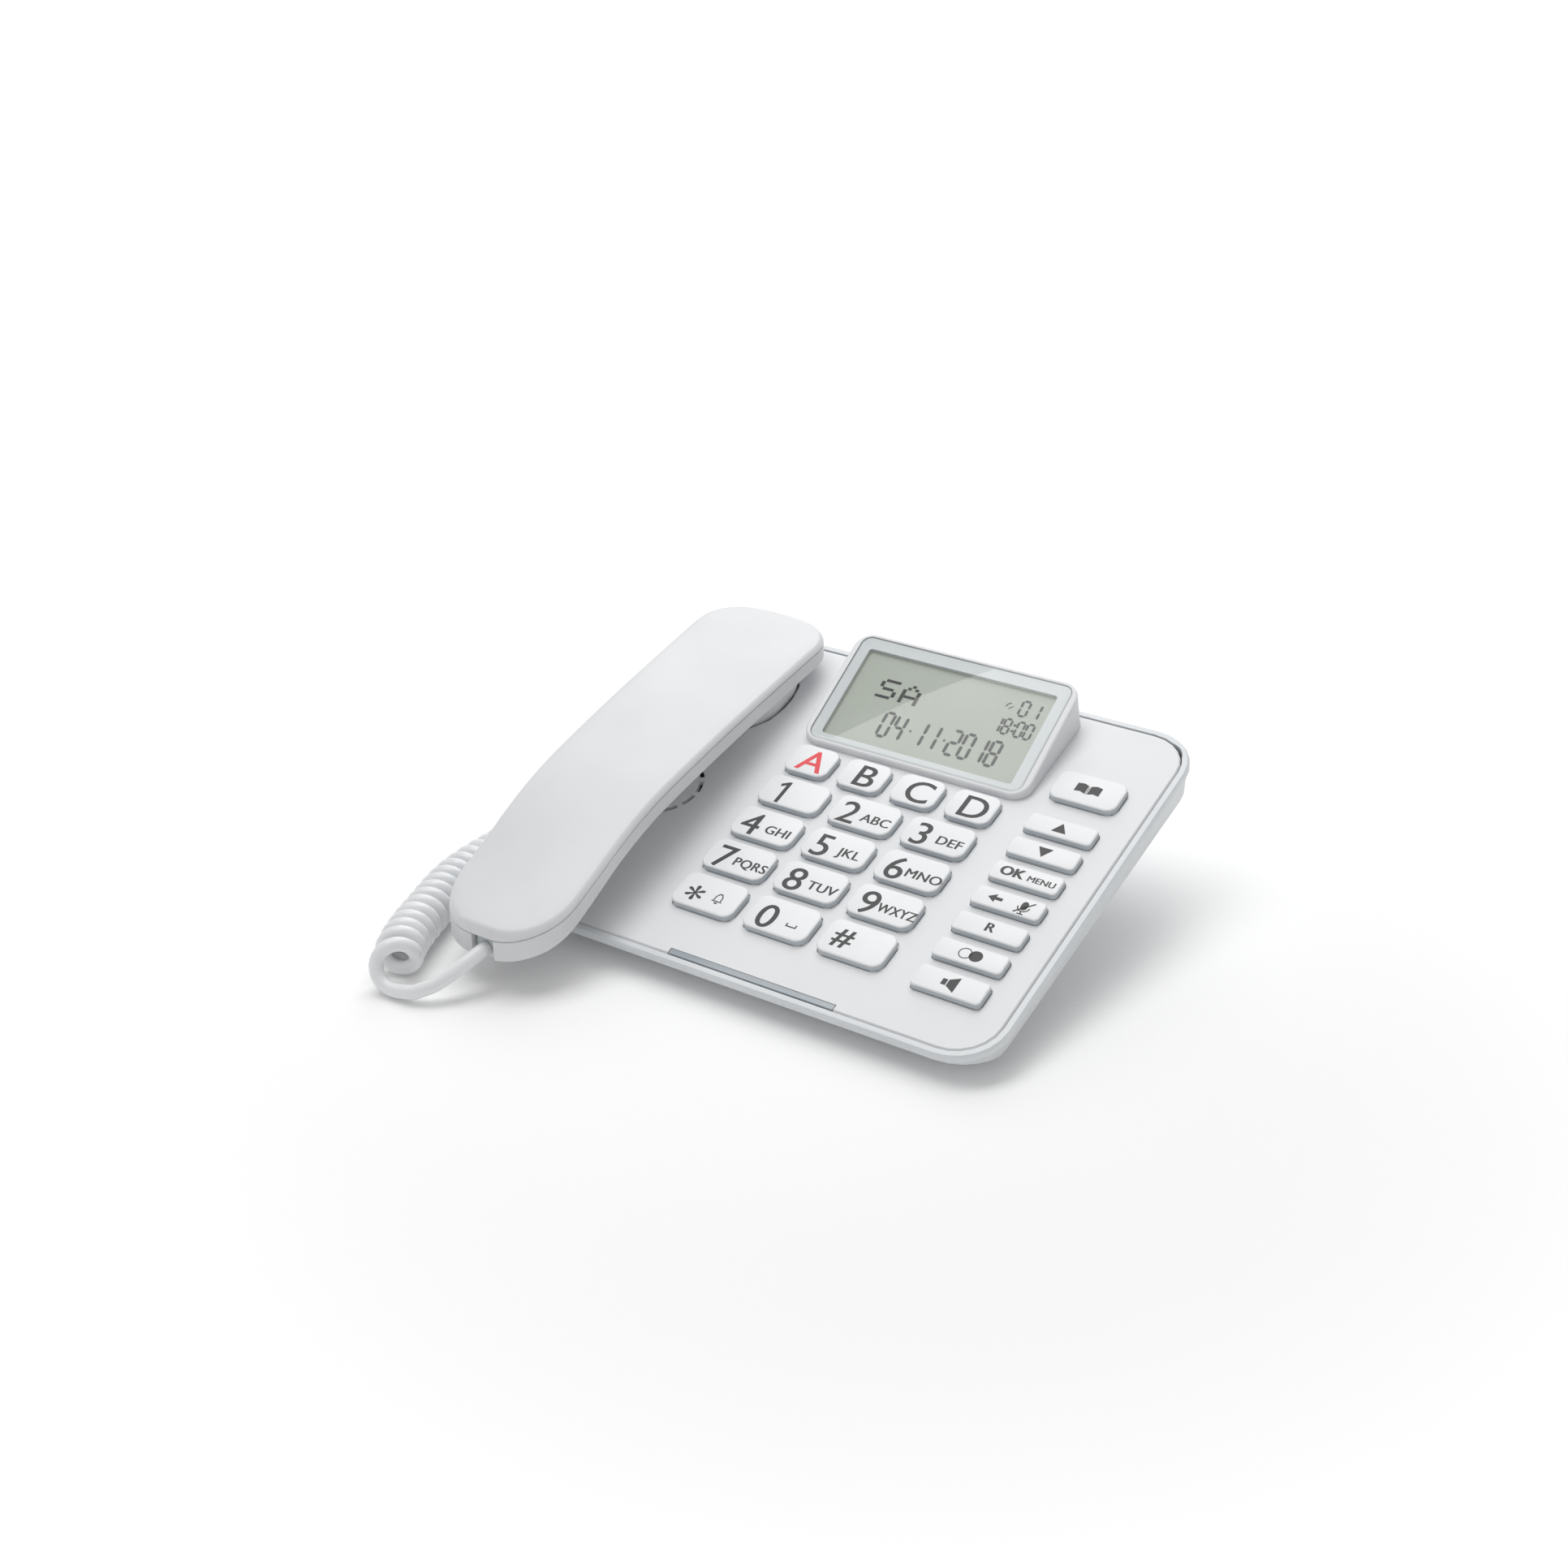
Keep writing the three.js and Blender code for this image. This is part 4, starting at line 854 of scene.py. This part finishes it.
def ring_outline(cx, cy, r, n=20):
    return [(cx + r * math.cos(2 * math.pi * i / n), cy + r * math.sin(2 * math.pi * i / n)) for i in range(n)]


def icon(label, cx, cy):
    """Outlines of a key's picture mark round its centre, in millimetres."""
    def at(points, dx=0.0, dy=0.0, k=1.0):
        return [(cx + dx + k * x, cy + dy + k * y) for x, y in points]

    if label == "up":
        return [at([(-2.7, -2.1), (2.7, -2.1), (0, 2.4)])]
    if label == "down":
        return [at([(-2.7, 2.1), (0, -2.4), (2.7, 2.1)])]
    if label == "book":
        left = [(-4.6, -1.9), (-2.4, -1.5), (-0.45, -2.3), (-0.45, 1.9), (-2.4, 2.6), (-4.6, 2.2)]
        return [at(left), at([(-x, y) for x, y in reversed(left)]),
                at([(-0.14, -2.3), (0.14, -2.3), (0.14, 1.4), (-0.14, 1.4)])]
    if label == "back_mute":
        arrow = [(-9.2, 0), (-6.4, 1.9), (-6.4, 0.65), (-3.9, 0.65), (-3.9, -0.65), (-6.4, -0.65), (-6.4, -1.9)]
        body = [(4.0 + 1.2 * math.cos(a), 0.9 + 1.4 * math.sin(a)) for a in np.linspace(0, math.pi, 7)]
        body += [(4.0 + 1.2 * math.cos(a), -0.3 + 1.4 * math.sin(a)) for a in np.linspace(math.pi, 2 * math.pi, 7)]
        cup_out = [(4.0 + 2.3 * math.cos(a), -0.2 + 2.3 * math.sin(a)) for a in np.linspace(math.pi, 2 * math.pi, 11)]
        cup_in = [(4.0 + 1.85 * math.cos(a), -0.2 + 1.85 * math.sin(a)) for a in np.linspace(2 * math.pi, math.pi,
                                                                                             11)]
        stem = [(3.75, -3.2), (4.25, -3.2), (4.25, -2.45), (3.75, -2.45)]
        foot = [(2.9, -3.65), (5.1, -3.65), (5.1, -3.2), (2.9, -3.2)]
        return [at(arrow), at(body), at(cup_out + cup_in), at(stem), at(foot)]
    if label == "redial":
        return [ring_outline(cx + 1.9, cy, 2.35)]
    if label == "speaker":
        box_part = [(-3.0, -1.3), (-1.3, -1.3), (-1.3, 1.3), (-3.0, 1.3)]
        cone = [(-0.9, -1.4), (2.4, -3.3), (2.4, 3.3), (-0.9, 1.4)]
        return [at(box_part), at(cone)]
    if label in ("star_bell", "space"):
        size = 1.25
        base_at = at

        def at(points):
            return base_at(points, k=size)

    if label == "star_bell":
        bell = [(-1.7, -1.2), (-1.2, -0.7), (-1.2, 0.6), (-0.6, 1.7), (0, 2.0), (0.6, 1.7), (1.2, 0.6), (1.2, -0.7),
                (1.7, -1.2)]
        inner = [(-1.1, -0.85), (-0.85, -0.5), (-0.85, 0.55), (-0.4, 1.35), (0, 1.6), (0.4, 1.35), (0.85, 0.55),
                 (0.85, -0.5), (1.1, -0.85)]
        clap = [(-0.55, -1.45), (0.55, -1.45), (0.35, -1.95), (-0.35, -1.95)]
        return [at(bell), at(inner), at(clap)]
    if label == "space":
        return [at([(-1.6, 0.5), (-1.6, -0.75), (1.6, -0.75), (1.6, 0.5), (1.2, 0.5), (1.2, -0.35), (-1.2, -0.35),
                    (-1.2, 0.5)])]
    raise ValueError(label)


def one_outline(cx, cy, high):
    """The digit 1 with its flag."""
    shape = [(0.0, -0.5), (0.13, -0.5), (0.13, 0.5), (0.04, 0.5), (-0.2, 0.34), (-0.16, 0.22), (0.0, 0.33)]
    return [(cx + x * high, cy + y * high) for x, y in shape]


LETTERS = {"2": "ABC", "3": "DEF", "4": "GHI", "5": "JKL", "6": "MNO", "7": "PQRS", "8": "TUV", "9": "WXYZ"}


class TELEPHONE_OT_legends(bpy.types.Operator):
    """Prints the digits, letters and picture marks on the key tops"""
    bl_idname = "telephone.legends"
    bl_label = "Key printing"

    def execute(self, context):
        props = looks()
        ink = 0.05 * MM
        for label in KEYS:
            x0, x1, y0, y1, _, z1 = key_rect(label)
            cx, cy = (x0 + x1) / 2 / MM, (y0 + y1) / 2 / MM
            z = z1 + ink / 2
            name = "print_" + label
            parts = []

            def text(body, size, dx, dy, bold=0.13, **more):
                # printed twice, a hair apart, which makes the strokes heavier
                for step in (-bold, bold):
                    parts.append(flat_text(name, body, size, (cx + dx + step, cy + dy), z + step * 0.02 * MM, ink,
                                           **more))

            if label in MEMORY:
                text(label.upper(), props.digit_size * 1.0, 1.0, -1.2, weight=0.03)
            elif label in LETTERS:
                text(label, props.digit_size, -5.5, -1.7)
                text(LETTERS[label], props.letter_size, 5.4, -1.8,
                     stretch=0.82 if label == "9" else 0.94 if label == "7" else 1.0, spacing=1.04)
            elif label == "1":
                parts.append(flat_outlines(name, [one_outline(cx - 4.6, cy - 1.0, props.digit_size * 0.72)], ink, z))
            elif label == "0":
                text("0", props.digit_size, -4.9, -1.9)
                parts.append(flat_outlines(name, icon("space", cx + 5.0, cy - 2.0), ink, z))
            elif label == "star":
                text("*", props.digit_size * 1.02, -5.0, -4.6, bold=0.2)
                parts.append(flat_outlines(name, icon("star_bell", cx + 4.2, cy - 1.0), ink, z))
            elif label == "hash":
                text("#", props.digit_size * 0.76, -5.0, 0.0, bold=0.2, weight=0.06)
            elif label == "ok":
                text("OK", 5.8, -5.2, 0.0, bold=0.22, weight=0.05)
                text("MENU", 3.7, 5.8, -0.6, bold=0.1)
            elif label == "recall":
                text("R", 5.6, 0, 0.1, bold=0.18)
            else:
                parts.append(flat_outlines(name, icon(label, cx + (1.8 if label == "back_mute" else 0), cy), ink, z))
            if label == "redial":
                hollow = [ring_outline(cx - 1.9, cy, 2.35), ring_outline(cx - 1.9, cy, 2.0)]
                parts.append(flat_outlines(name, hollow, ink, z))
            if label == "back_mute":
                bars = [[(cx + 3.0, cy - 3.0), (cx + 3.4, cy - 3.4), (cx + 9.1, cy + 2.3), (cx + 8.7, cy + 2.7)]]
                parts.append(flat_outlines(name, bars, ink, z))
            obj = merge_pieces(name, parts)
            settle(obj, TILT)
            dress(obj, "ink_red" if label == "a" else "ink_charcoal", "key_" + label, "key_white")
        # tactile dot at the back right of the 5
        x0, x1, y0, y1, _, z1 = key_rect("5")
        start_clean()
        bpy.ops.mesh.primitive_uv_sphere_add(segments=16, ring_count=8, radius=0.75 * MM,
                                             location=((x0 + x1) / 2 + 6.8 * MM, y1 - 2.6 * MM, z1 - 0.1 * MM))
        dot = bpy.context.object
        dot.name = dot.data.name = "dot_5"
        settle(dot, TILT)
        dress(finish_mesh(dot, 60), "abs_key_grey_and_painted_shade", "key_5", "key_white")
        return {"FINISHED"}


# ---- handset ----
# height of the handset's top edge along Y, in millimetres of the key deck's own origin
ARCH = [(-118, 20.2), (-112, 22.3), (-100, 26.1), (-90, 29.8), (-80, 34.1), (-70, 38.6), (-60, 42.6), (-47, 46.7),
        (-35, 49.4), (-22.8, 51.8), (2, 56.2), (28, 60.2), (50, 63.4), (74, 66.6)]


TAPER = 7.6 * MM  # how much narrower the near end is
TAPER_START = (50 + 18.26) * MM


def arch(y):
    """Height of the handset's top edge at a place along Y, in metres."""
    ys = np.array([p[0] for p in ARCH], float)
    zs = np.array([p[1] for p in ARCH], float)
    slopes = np.gradient(zs, ys)
    at = y / MM - SHIFT.y
    i = int(np.clip(np.searchsorted(ys, at) - 1, 0, len(ys) - 2))
    h = ys[i + 1] - ys[i]
    t = (at - ys[i]) / h
    value = ((2 * t**3 - 3 * t**2 + 1) * zs[i] + (t**3 - 2 * t**2 + t) * h * slopes[i]
             + (-2 * t**3 + 3 * t**2) * zs[i + 1] + (t**3 - t**2) * h * slopes[i + 1])
    return value * MM


def handset_blank(name, z0, z1):
    """A flat block with the handset's outline in plan."""
    lo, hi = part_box("handset_upper")
    start_clean()
    obj = block(name, (lo.x, lo.y, z0), (hi.x, hi.y, z1))
    for edge_y, radius, segments in ((lo.y, 22 * MM, 14), (hi.y, 15 * MM, 12)):
        pick(obj, "EDGE", lambda a, b: near(a.x, b.x) and near(a.y, b.y) and near(a.y, edge_y))
        bpy.ops.mesh.bevel(offset=radius, segments=segments, affect="EDGES")
        object_mode()
    return obj, lo, hi


def slice_rows(obj, lo, hi):
    """Cuts the block across every few millimetres, and lengthwise, so that it can be arched and crowned."""
    ys = sorted({round(v.co.y, 6) for v in obj.data.vertices})
    stations = [lo.y + (hi.y - lo.y) * i / 44 for i in range(1, 44)]
    rows = [y for y in stations if min(abs(y - other) for other in ys) > 0.9 * MM] + ys[1:-1]
    pick(obj, "FACE", lambda c, n: True)
    for y in rows:
        bpy.ops.mesh.select_all(action="SELECT")
        bpy.ops.mesh.bisect(plane_co=(0, y, 0), plane_no=(0, 1, 0))
    middle = (lo.x + hi.x) / 2
    half = (hi.x - lo.x) / 2
    for part in (-0.82, -0.64, -0.43, -0.22, 0.0, 0.22, 0.43, 0.64, 0.82):
        bpy.ops.mesh.select_all(action="SELECT")
        bpy.ops.mesh.bisect(plane_co=(middle + part * half, 0, 0), plane_no=(1, 0, 0))
    bpy.ops.mesh.select_all(action="SELECT")
    bpy.ops.mesh.remove_doubles(threshold=2e-6)
    object_mode()


def take_vertices(obj, members):
    """Selects only these vertices of a piece, for the edit that follows."""
    only(obj)
    bpy.ops.object.mode_set(mode="EDIT")
    bpy.ops.mesh.select_mode(type="VERT")
    bpy.ops.mesh.select_all(action="DESELECT")
    object_mode()
    for i in members:
        obj.data.vertices[i].select = True


def rows_along(obj):
    """The vertices of a piece in rows of equal Y."""
    rows = {}
    for v in obj.data.vertices:
        rows.setdefault(round(v.co.y, 5), []).append(v.index)
    return rows


def move_up(obj, members, rise):
    """Moves these vertices along Z."""
    take_vertices(obj, members)
    bpy.ops.object.mode_set(mode="EDIT")
    bpy.ops.transform.translate(value=(0, 0, rise))
    object_mode()


def lift_rows(obj, rise):
    """Moves each row of vertices along Z by rise(y)."""
    for y, members in rows_along(obj).items():
        move_up(obj, members, rise(y))


class TELEPHONE_OT_handset(bpy.types.Operator):
    """Models the arched handset: crowned cover, side shell and earpiece pad"""
    bl_idname = "telephone.handset"
    bl_label = "Handset"

    def execute(self, context):
        seam = 2.3 * MM
        gap = 0.15 * MM
        # cover: the block is modelled with its top edge at height 0, then each row is lifted to the arch
        cover, lo, hi = handset_blank("handset_cover", -seam + gap, 0.0)
        round_level(cover, 0.0, 2.0 * MM, 4, 0.42)
        round_level(cover, -seam + gap, 0.2 * MM, 2)
        slice_rows(cover, lo, hi)
        middle = (lo.x + hi.x) / 2
        half = (hi.x - lo.x) / 2
        crown = 1.35 * MM
        columns = {}
        for v in cover.data.vertices:
            if v.co.z > -0.6 * MM:
                columns.setdefault((round(v.co.x, 6), round(v.co.y, 6)), []).append(v.index)
        heights = {}
        for (x, y), members in columns.items():
            wide = plan_half(y, lo, hi, half)
            share = min(1.0, abs(x - middle) / max(wide, 1e-6))
            lift = crown * max(0.0, 1 - share * share)
            heights.setdefault(round(lift, 6), []).extend(members)
        for lift, members in heights.items():
            move_up(cover, members, lift)
        narrow(cover, lo, hi)
        lift_rows(cover, arch)
        finish_mesh(cover, 42)
        dress(cover, "abs_satin_white_painted_shade", "handset", "handset_white", "handset_upper")
        # side shell: band, then a rounded belly
        side = 5.2 * MM
        shell, _, _ = handset_blank("handset_shell", -seam - side, -seam - gap)
        round_level(shell, -seam - gap, 0.2 * MM, 2)
        inset_top(shell, -seam - side, 2.6 * MM, -1.2 * MM)
        inset_top(shell, -seam - side - 1.2 * MM, 5.4 * MM, -1.7 * MM)
        slice_rows(shell, lo, hi)
        low = [v.index for v in shell.data.vertices if v.co.z < -seam - side + 0.1 * MM]
        rows = {}
        for i in low:
            rows.setdefault(round(shell.data.vertices[i].co.y, 5), []).append(i)
        for y, members in rows.items():
            place = y / MM - SHIFT.y
            extra = 2.0 * min(1.0, max(0.0, (-70 - place) / 35)) * MM
            if extra > 1e-6:
                move_up(shell, members, -extra)
        narrow(shell, lo, hi)
        lift_rows(shell, arch)
        finish_mesh(shell, 38)
        # notch and socket opening for the cord
        jack_lo, jack_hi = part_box("handset_jack")
        notch = block("notch", (jack_lo.x - 0.3 * MM, lo.y - MM, jack_lo.z - 8 * MM),
                      (jack_hi.x + 0.3 * MM, lo.y + 16.2 * MM, jack_hi.z + 0.5 * MM), 0.6 * MM, 3)
        subtract(shell, notch)
        finish_mesh(shell, 38)
        pad_piece()
        dress(shell, "abs_satin_white_painted_shade", "handset", "handset_white", "handset_lower")
        return {"FINISHED"}


def plan_half(y, lo, hi, half):
    """Half width of the handset's outline at a place along Y."""
    for edge, radius, sign in ((lo.y, 22 * MM, 1), (hi.y, 15 * MM, -1)):
        into = (y - edge) * sign
        if into < radius:
            return half - radius + math.sqrt(max(0.0, radius**2 - (radius - max(into, 0.0)) ** 2))
    return half


def narrow(obj, lo, hi):
    """Draws the left side in towards the near end, row by row, about the straight right side."""
    for y, members in rows_along(obj).items():
        share = min(1.0, max(0.0, (TAPER_START - y) / (TAPER_START - lo.y)))
        if share > 0:
            take_vertices(obj, members)
            bpy.ops.object.mode_set(mode="EDIT")
            bpy.ops.transform.resize(value=(1 - TAPER * share / (hi.x - lo.x), 1, 1), center_override=(hi.x, y, 0))
            object_mode()


PAD_NEAR, PAD_FAR = 22.0, 66.0  # the earpiece pad's ends up the deck's slope, millimetres
PAD_HALF = 21.5 * MM            # half its width
PAD_SUNK = 2.4 * MM             # how far it reaches into the cup
PAD_TALL = 9.5 * MM             # how far it stands above the face


def pad_piece():
    """The round-cornered earpiece pad under the far end, sunk in the cup of the face."""
    middle = (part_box("handset_upper")[0].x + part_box("handset_upper")[1].x) / 2
    low, high = deck_v(PAD_NEAR), deck_v(PAD_FAR)
    bottom = DECK_W - PAD_SUNK
    pad = block("earpiece_pad", (middle - PAD_HALF, low, bottom), (middle + PAD_HALF, high, DECK_W + PAD_TALL),
                19 * MM, 12)
    round_level(pad, bottom, 2.6 * MM, 5)
    inset_top(pad, bottom, 5 * MM, 0)
    inset_top(pad, bottom, 0.6 * MM, 0.5 * MM)
    # it widens upwards, to run into the sides of the handset
    pick(pad, "VERT", lambda co: co.z > DECK_W + 5 * MM)
    bpy.ops.transform.resize(value=(1.17, 1.14, 1), center_override=(middle, (low + high) / 2 + 1 * MM, 0))
    object_mode()
    settle(pad, TILT)
    finish_mesh(pad, 40)
    dress(pad, "abs_satin_white_painted_shade", "handset", "handset_white")


def deck_v(v):
    """A place up the deck's slope, in millimetres from its own origin, in the tilted frame of the shared origin."""
    face = DECK_W
    # the deck's own origin lies at (0, SHIFT.y, height) of the shared frame
    y = SHIFT.y * MM
    z = (face - (-y * math.sin(TILT))) / math.cos(TILT)
    return y * math.cos(TILT) + z * math.sin(TILT) + v * MM


# ---- small hardware ----
class TELEPHONE_OT_hardware(bpy.types.Operator):
    """Finishes the feet, screws, sockets, plugs and inner parts"""
    bl_idname = "telephone.hardware"
    bl_label = "Feet, screws and sockets"

    def execute(self, context):
        for i in (1, 2, 3, 4):
            lo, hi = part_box(f"foot_{i}")
            start_clean()
            bpy.ops.mesh.primitive_cylinder_add(vertices=40, radius=(hi.x - lo.x) / 2, depth=hi.z - lo.z,
                                                location=(lo + hi) / 2)
            foot = context.object
            foot.name = foot.data.name = f"rubber_foot_{i}"
            settle(foot)
            round_level(foot, lo.z, 0.7 * MM, 3)
            inset_top(foot, lo.z, 1.6 * MM, 0.4 * MM)
            dress(finish_mesh(foot), "rubber_black", "base", "rubber_dark", f"foot_{i}")
        plain = {"keypad_mat": "silicone_grey", "main_board": "solder_mask_green", "loudspeaker": "driver_black",
                 "ballast_plate": "steel_zinc_plated", "earpiece_receiver": "driver_black",
                 "microphone": "driver_black",
                 "base_cord_jack": "nylon_socket", "line_jack": "nylon_socket", "handset_jack": "nylon_socket",
                 "base_cord_plug": "polycarbonate_plug", "handset_cord_plug": "polycarbonate_plug",
                 "hook_plunger": "abs_key_white"}
        plain.update({f"case_screw_{i}": "steel_zinc_plated" for i in (1, 2, 3, 4)})
        for node, material in plain.items():
            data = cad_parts[node].data
            data.materials.clear()
            data.materials.append(materials[material])
        return {"FINISHED"}


# ---- stage ----
class TELEPHONE_OT_stage(bpy.types.Operator):
    """Lays the pale floor and sets the soft studio light"""
    bl_idname = "telephone.stage"
    bl_label = "Floor and light"

    def execute(self, context):
        start_clean()
        bpy.ops.mesh.primitive_plane_add(size=8, location=(0, 0, 0))
        floor = context.object
        floor.name = floor.data.name = "studio_floor"
        material, tree, shader = surface("paper_white_painted_glow", "#FBFBFB", Roughness=0.9)
        place = add(tree, "ShaderNodeTexCoord")
        fibre = add(tree, "ShaderNodeTexNoise", {"Vector": place.outputs["Object"], "Scale": 400.0, "Detail": 2.0})
        bump = add(tree, "ShaderNodeBump", {"Height": fibre.outputs["Fac"], "Strength": 0.02, "Distance": 0.05 * MM})
        tree.links.new(bump.outputs["Normal"], shader.inputs["Normal"])
        # painted light: the floor itself glows, faintly near the telephone and more strongly away from it, so it runs
        # out to white
        spread = add(tree, "ShaderNodeVectorMath", {0: place.outputs["Object"]}, operation="LENGTH")
        floor_painted_glow = add(tree, "ShaderNodeMapRange", {"Value": spread.outputs["Value"], "From Min": 0.16, "From Max": 0.6,
                                                "To Min": 0.04, "To Max": 0.6}, interpolation_type="SMOOTHSTEP")
        shader.inputs["Emission Color"].default_value = linear("#FFFFFF")
        tree.links.new(floor_painted_glow.outputs["Result"], shader.inputs["Emission Strength"])
        floor.data.materials.append(material)
        world = bpy.data.worlds.new("studio")
        context.scene.world = world
        world.use_nodes = True
        world.node_tree.nodes["Background"].inputs["Color"].default_value = linear("#FFFFFF")
        world.node_tree.nodes["Background"].inputs["Strength"].default_value = 0.42
        aims = [("softbox_back_left", (-0.6, 1.05, 0.85), (1.0, 0.8), 0.5, "#FFFFFF"),
                ("softbox_window", (-0.24, 0.28, 1.12), (0.6, 1.5), 1.05, "#FFFFFF"),
                ("softbox_front", (0.3, -1.2, 1.0), (1.2, 0.8), 0.12, "#FFFFFF")]
        for name, place, size, share, colour in aims:
            start_clean()
            place = Vector(place)
            aim = (Vector((0, 0, 0.03)) - place).to_track_quat("-Z", "Y").to_euler()
            if name == "softbox_window":  # hangs level, turned so that its edge crosses the display's reflection
                aim = (0, 0, math.radians(-23))
            bpy.ops.object.light_add(type="AREA", location=place, rotation=aim)
            lamp = context.object
            lamp.name = name
            lamp.data.shape = "RECTANGLE"
            lamp.data.size, lamp.data.size_y = size
            lamp.data.energy = looks().key_light * share
            lamp.data.color = linear(colour)[:3]
        context.scene.view_settings.view_transform = "Standard"
        return {"FINISHED"}


class TELEPHONE_PT_panel(bpy.types.Panel):
    """Lists the telephone's pieces and settings"""
    bl_label = "Desk telephone"
    bl_idname = "TELEPHONE_PT_panel"
    bl_space_type = "VIEW_3D"
    bl_region_type = "UI"
    bl_category = "Telephone"

    def draw(self, context):
        for name in TelephoneLooks.__annotations__:
            self.layout.prop(context.scene.telephone_looks, name)
        for operator in OPERATORS:
            self.layout.operator(operator.bl_idname)


OPERATORS = [TELEPHONE_OT_camera, TELEPHONE_OT_cord, TELEPHONE_OT_shell, TELEPHONE_OT_face, TELEPHONE_OT_hood,
             TELEPHONE_OT_display, TELEPHONE_OT_light_bar, TELEPHONE_OT_keys, TELEPHONE_OT_legends,
             TELEPHONE_OT_handset, TELEPHONE_OT_hardware, TELEPHONE_OT_stage]
CLASSES = [TelephoneLooks, *OPERATORS, TELEPHONE_PT_panel]


def register():
    for cls in CLASSES:
        bpy.utils.register_class(cls)
    bpy.types.Scene.telephone_looks = bpy.props.PointerProperty(type=TelephoneLooks)


def unregister():
    del bpy.types.Scene.telephone_looks
    for cls in reversed(CLASSES):
        bpy.utils.unregister_class(cls)


def main():
    register()
    make_materials(looks())
    bpy.ops.telephone.camera()
    bpy.ops.telephone.cord()
    bpy.ops.telephone.shell()
    bpy.ops.telephone.face()
    bpy.ops.telephone.hood()
    bpy.ops.telephone.display()
    bpy.ops.telephone.light_bar()
    bpy.ops.telephone.keys()
    bpy.ops.telephone.legends()
    bpy.ops.telephone.handset()
    bpy.ops.telephone.hardware()
    bpy.ops.telephone.stage()
    start_clean()


if __name__ == "__main__":
    main()
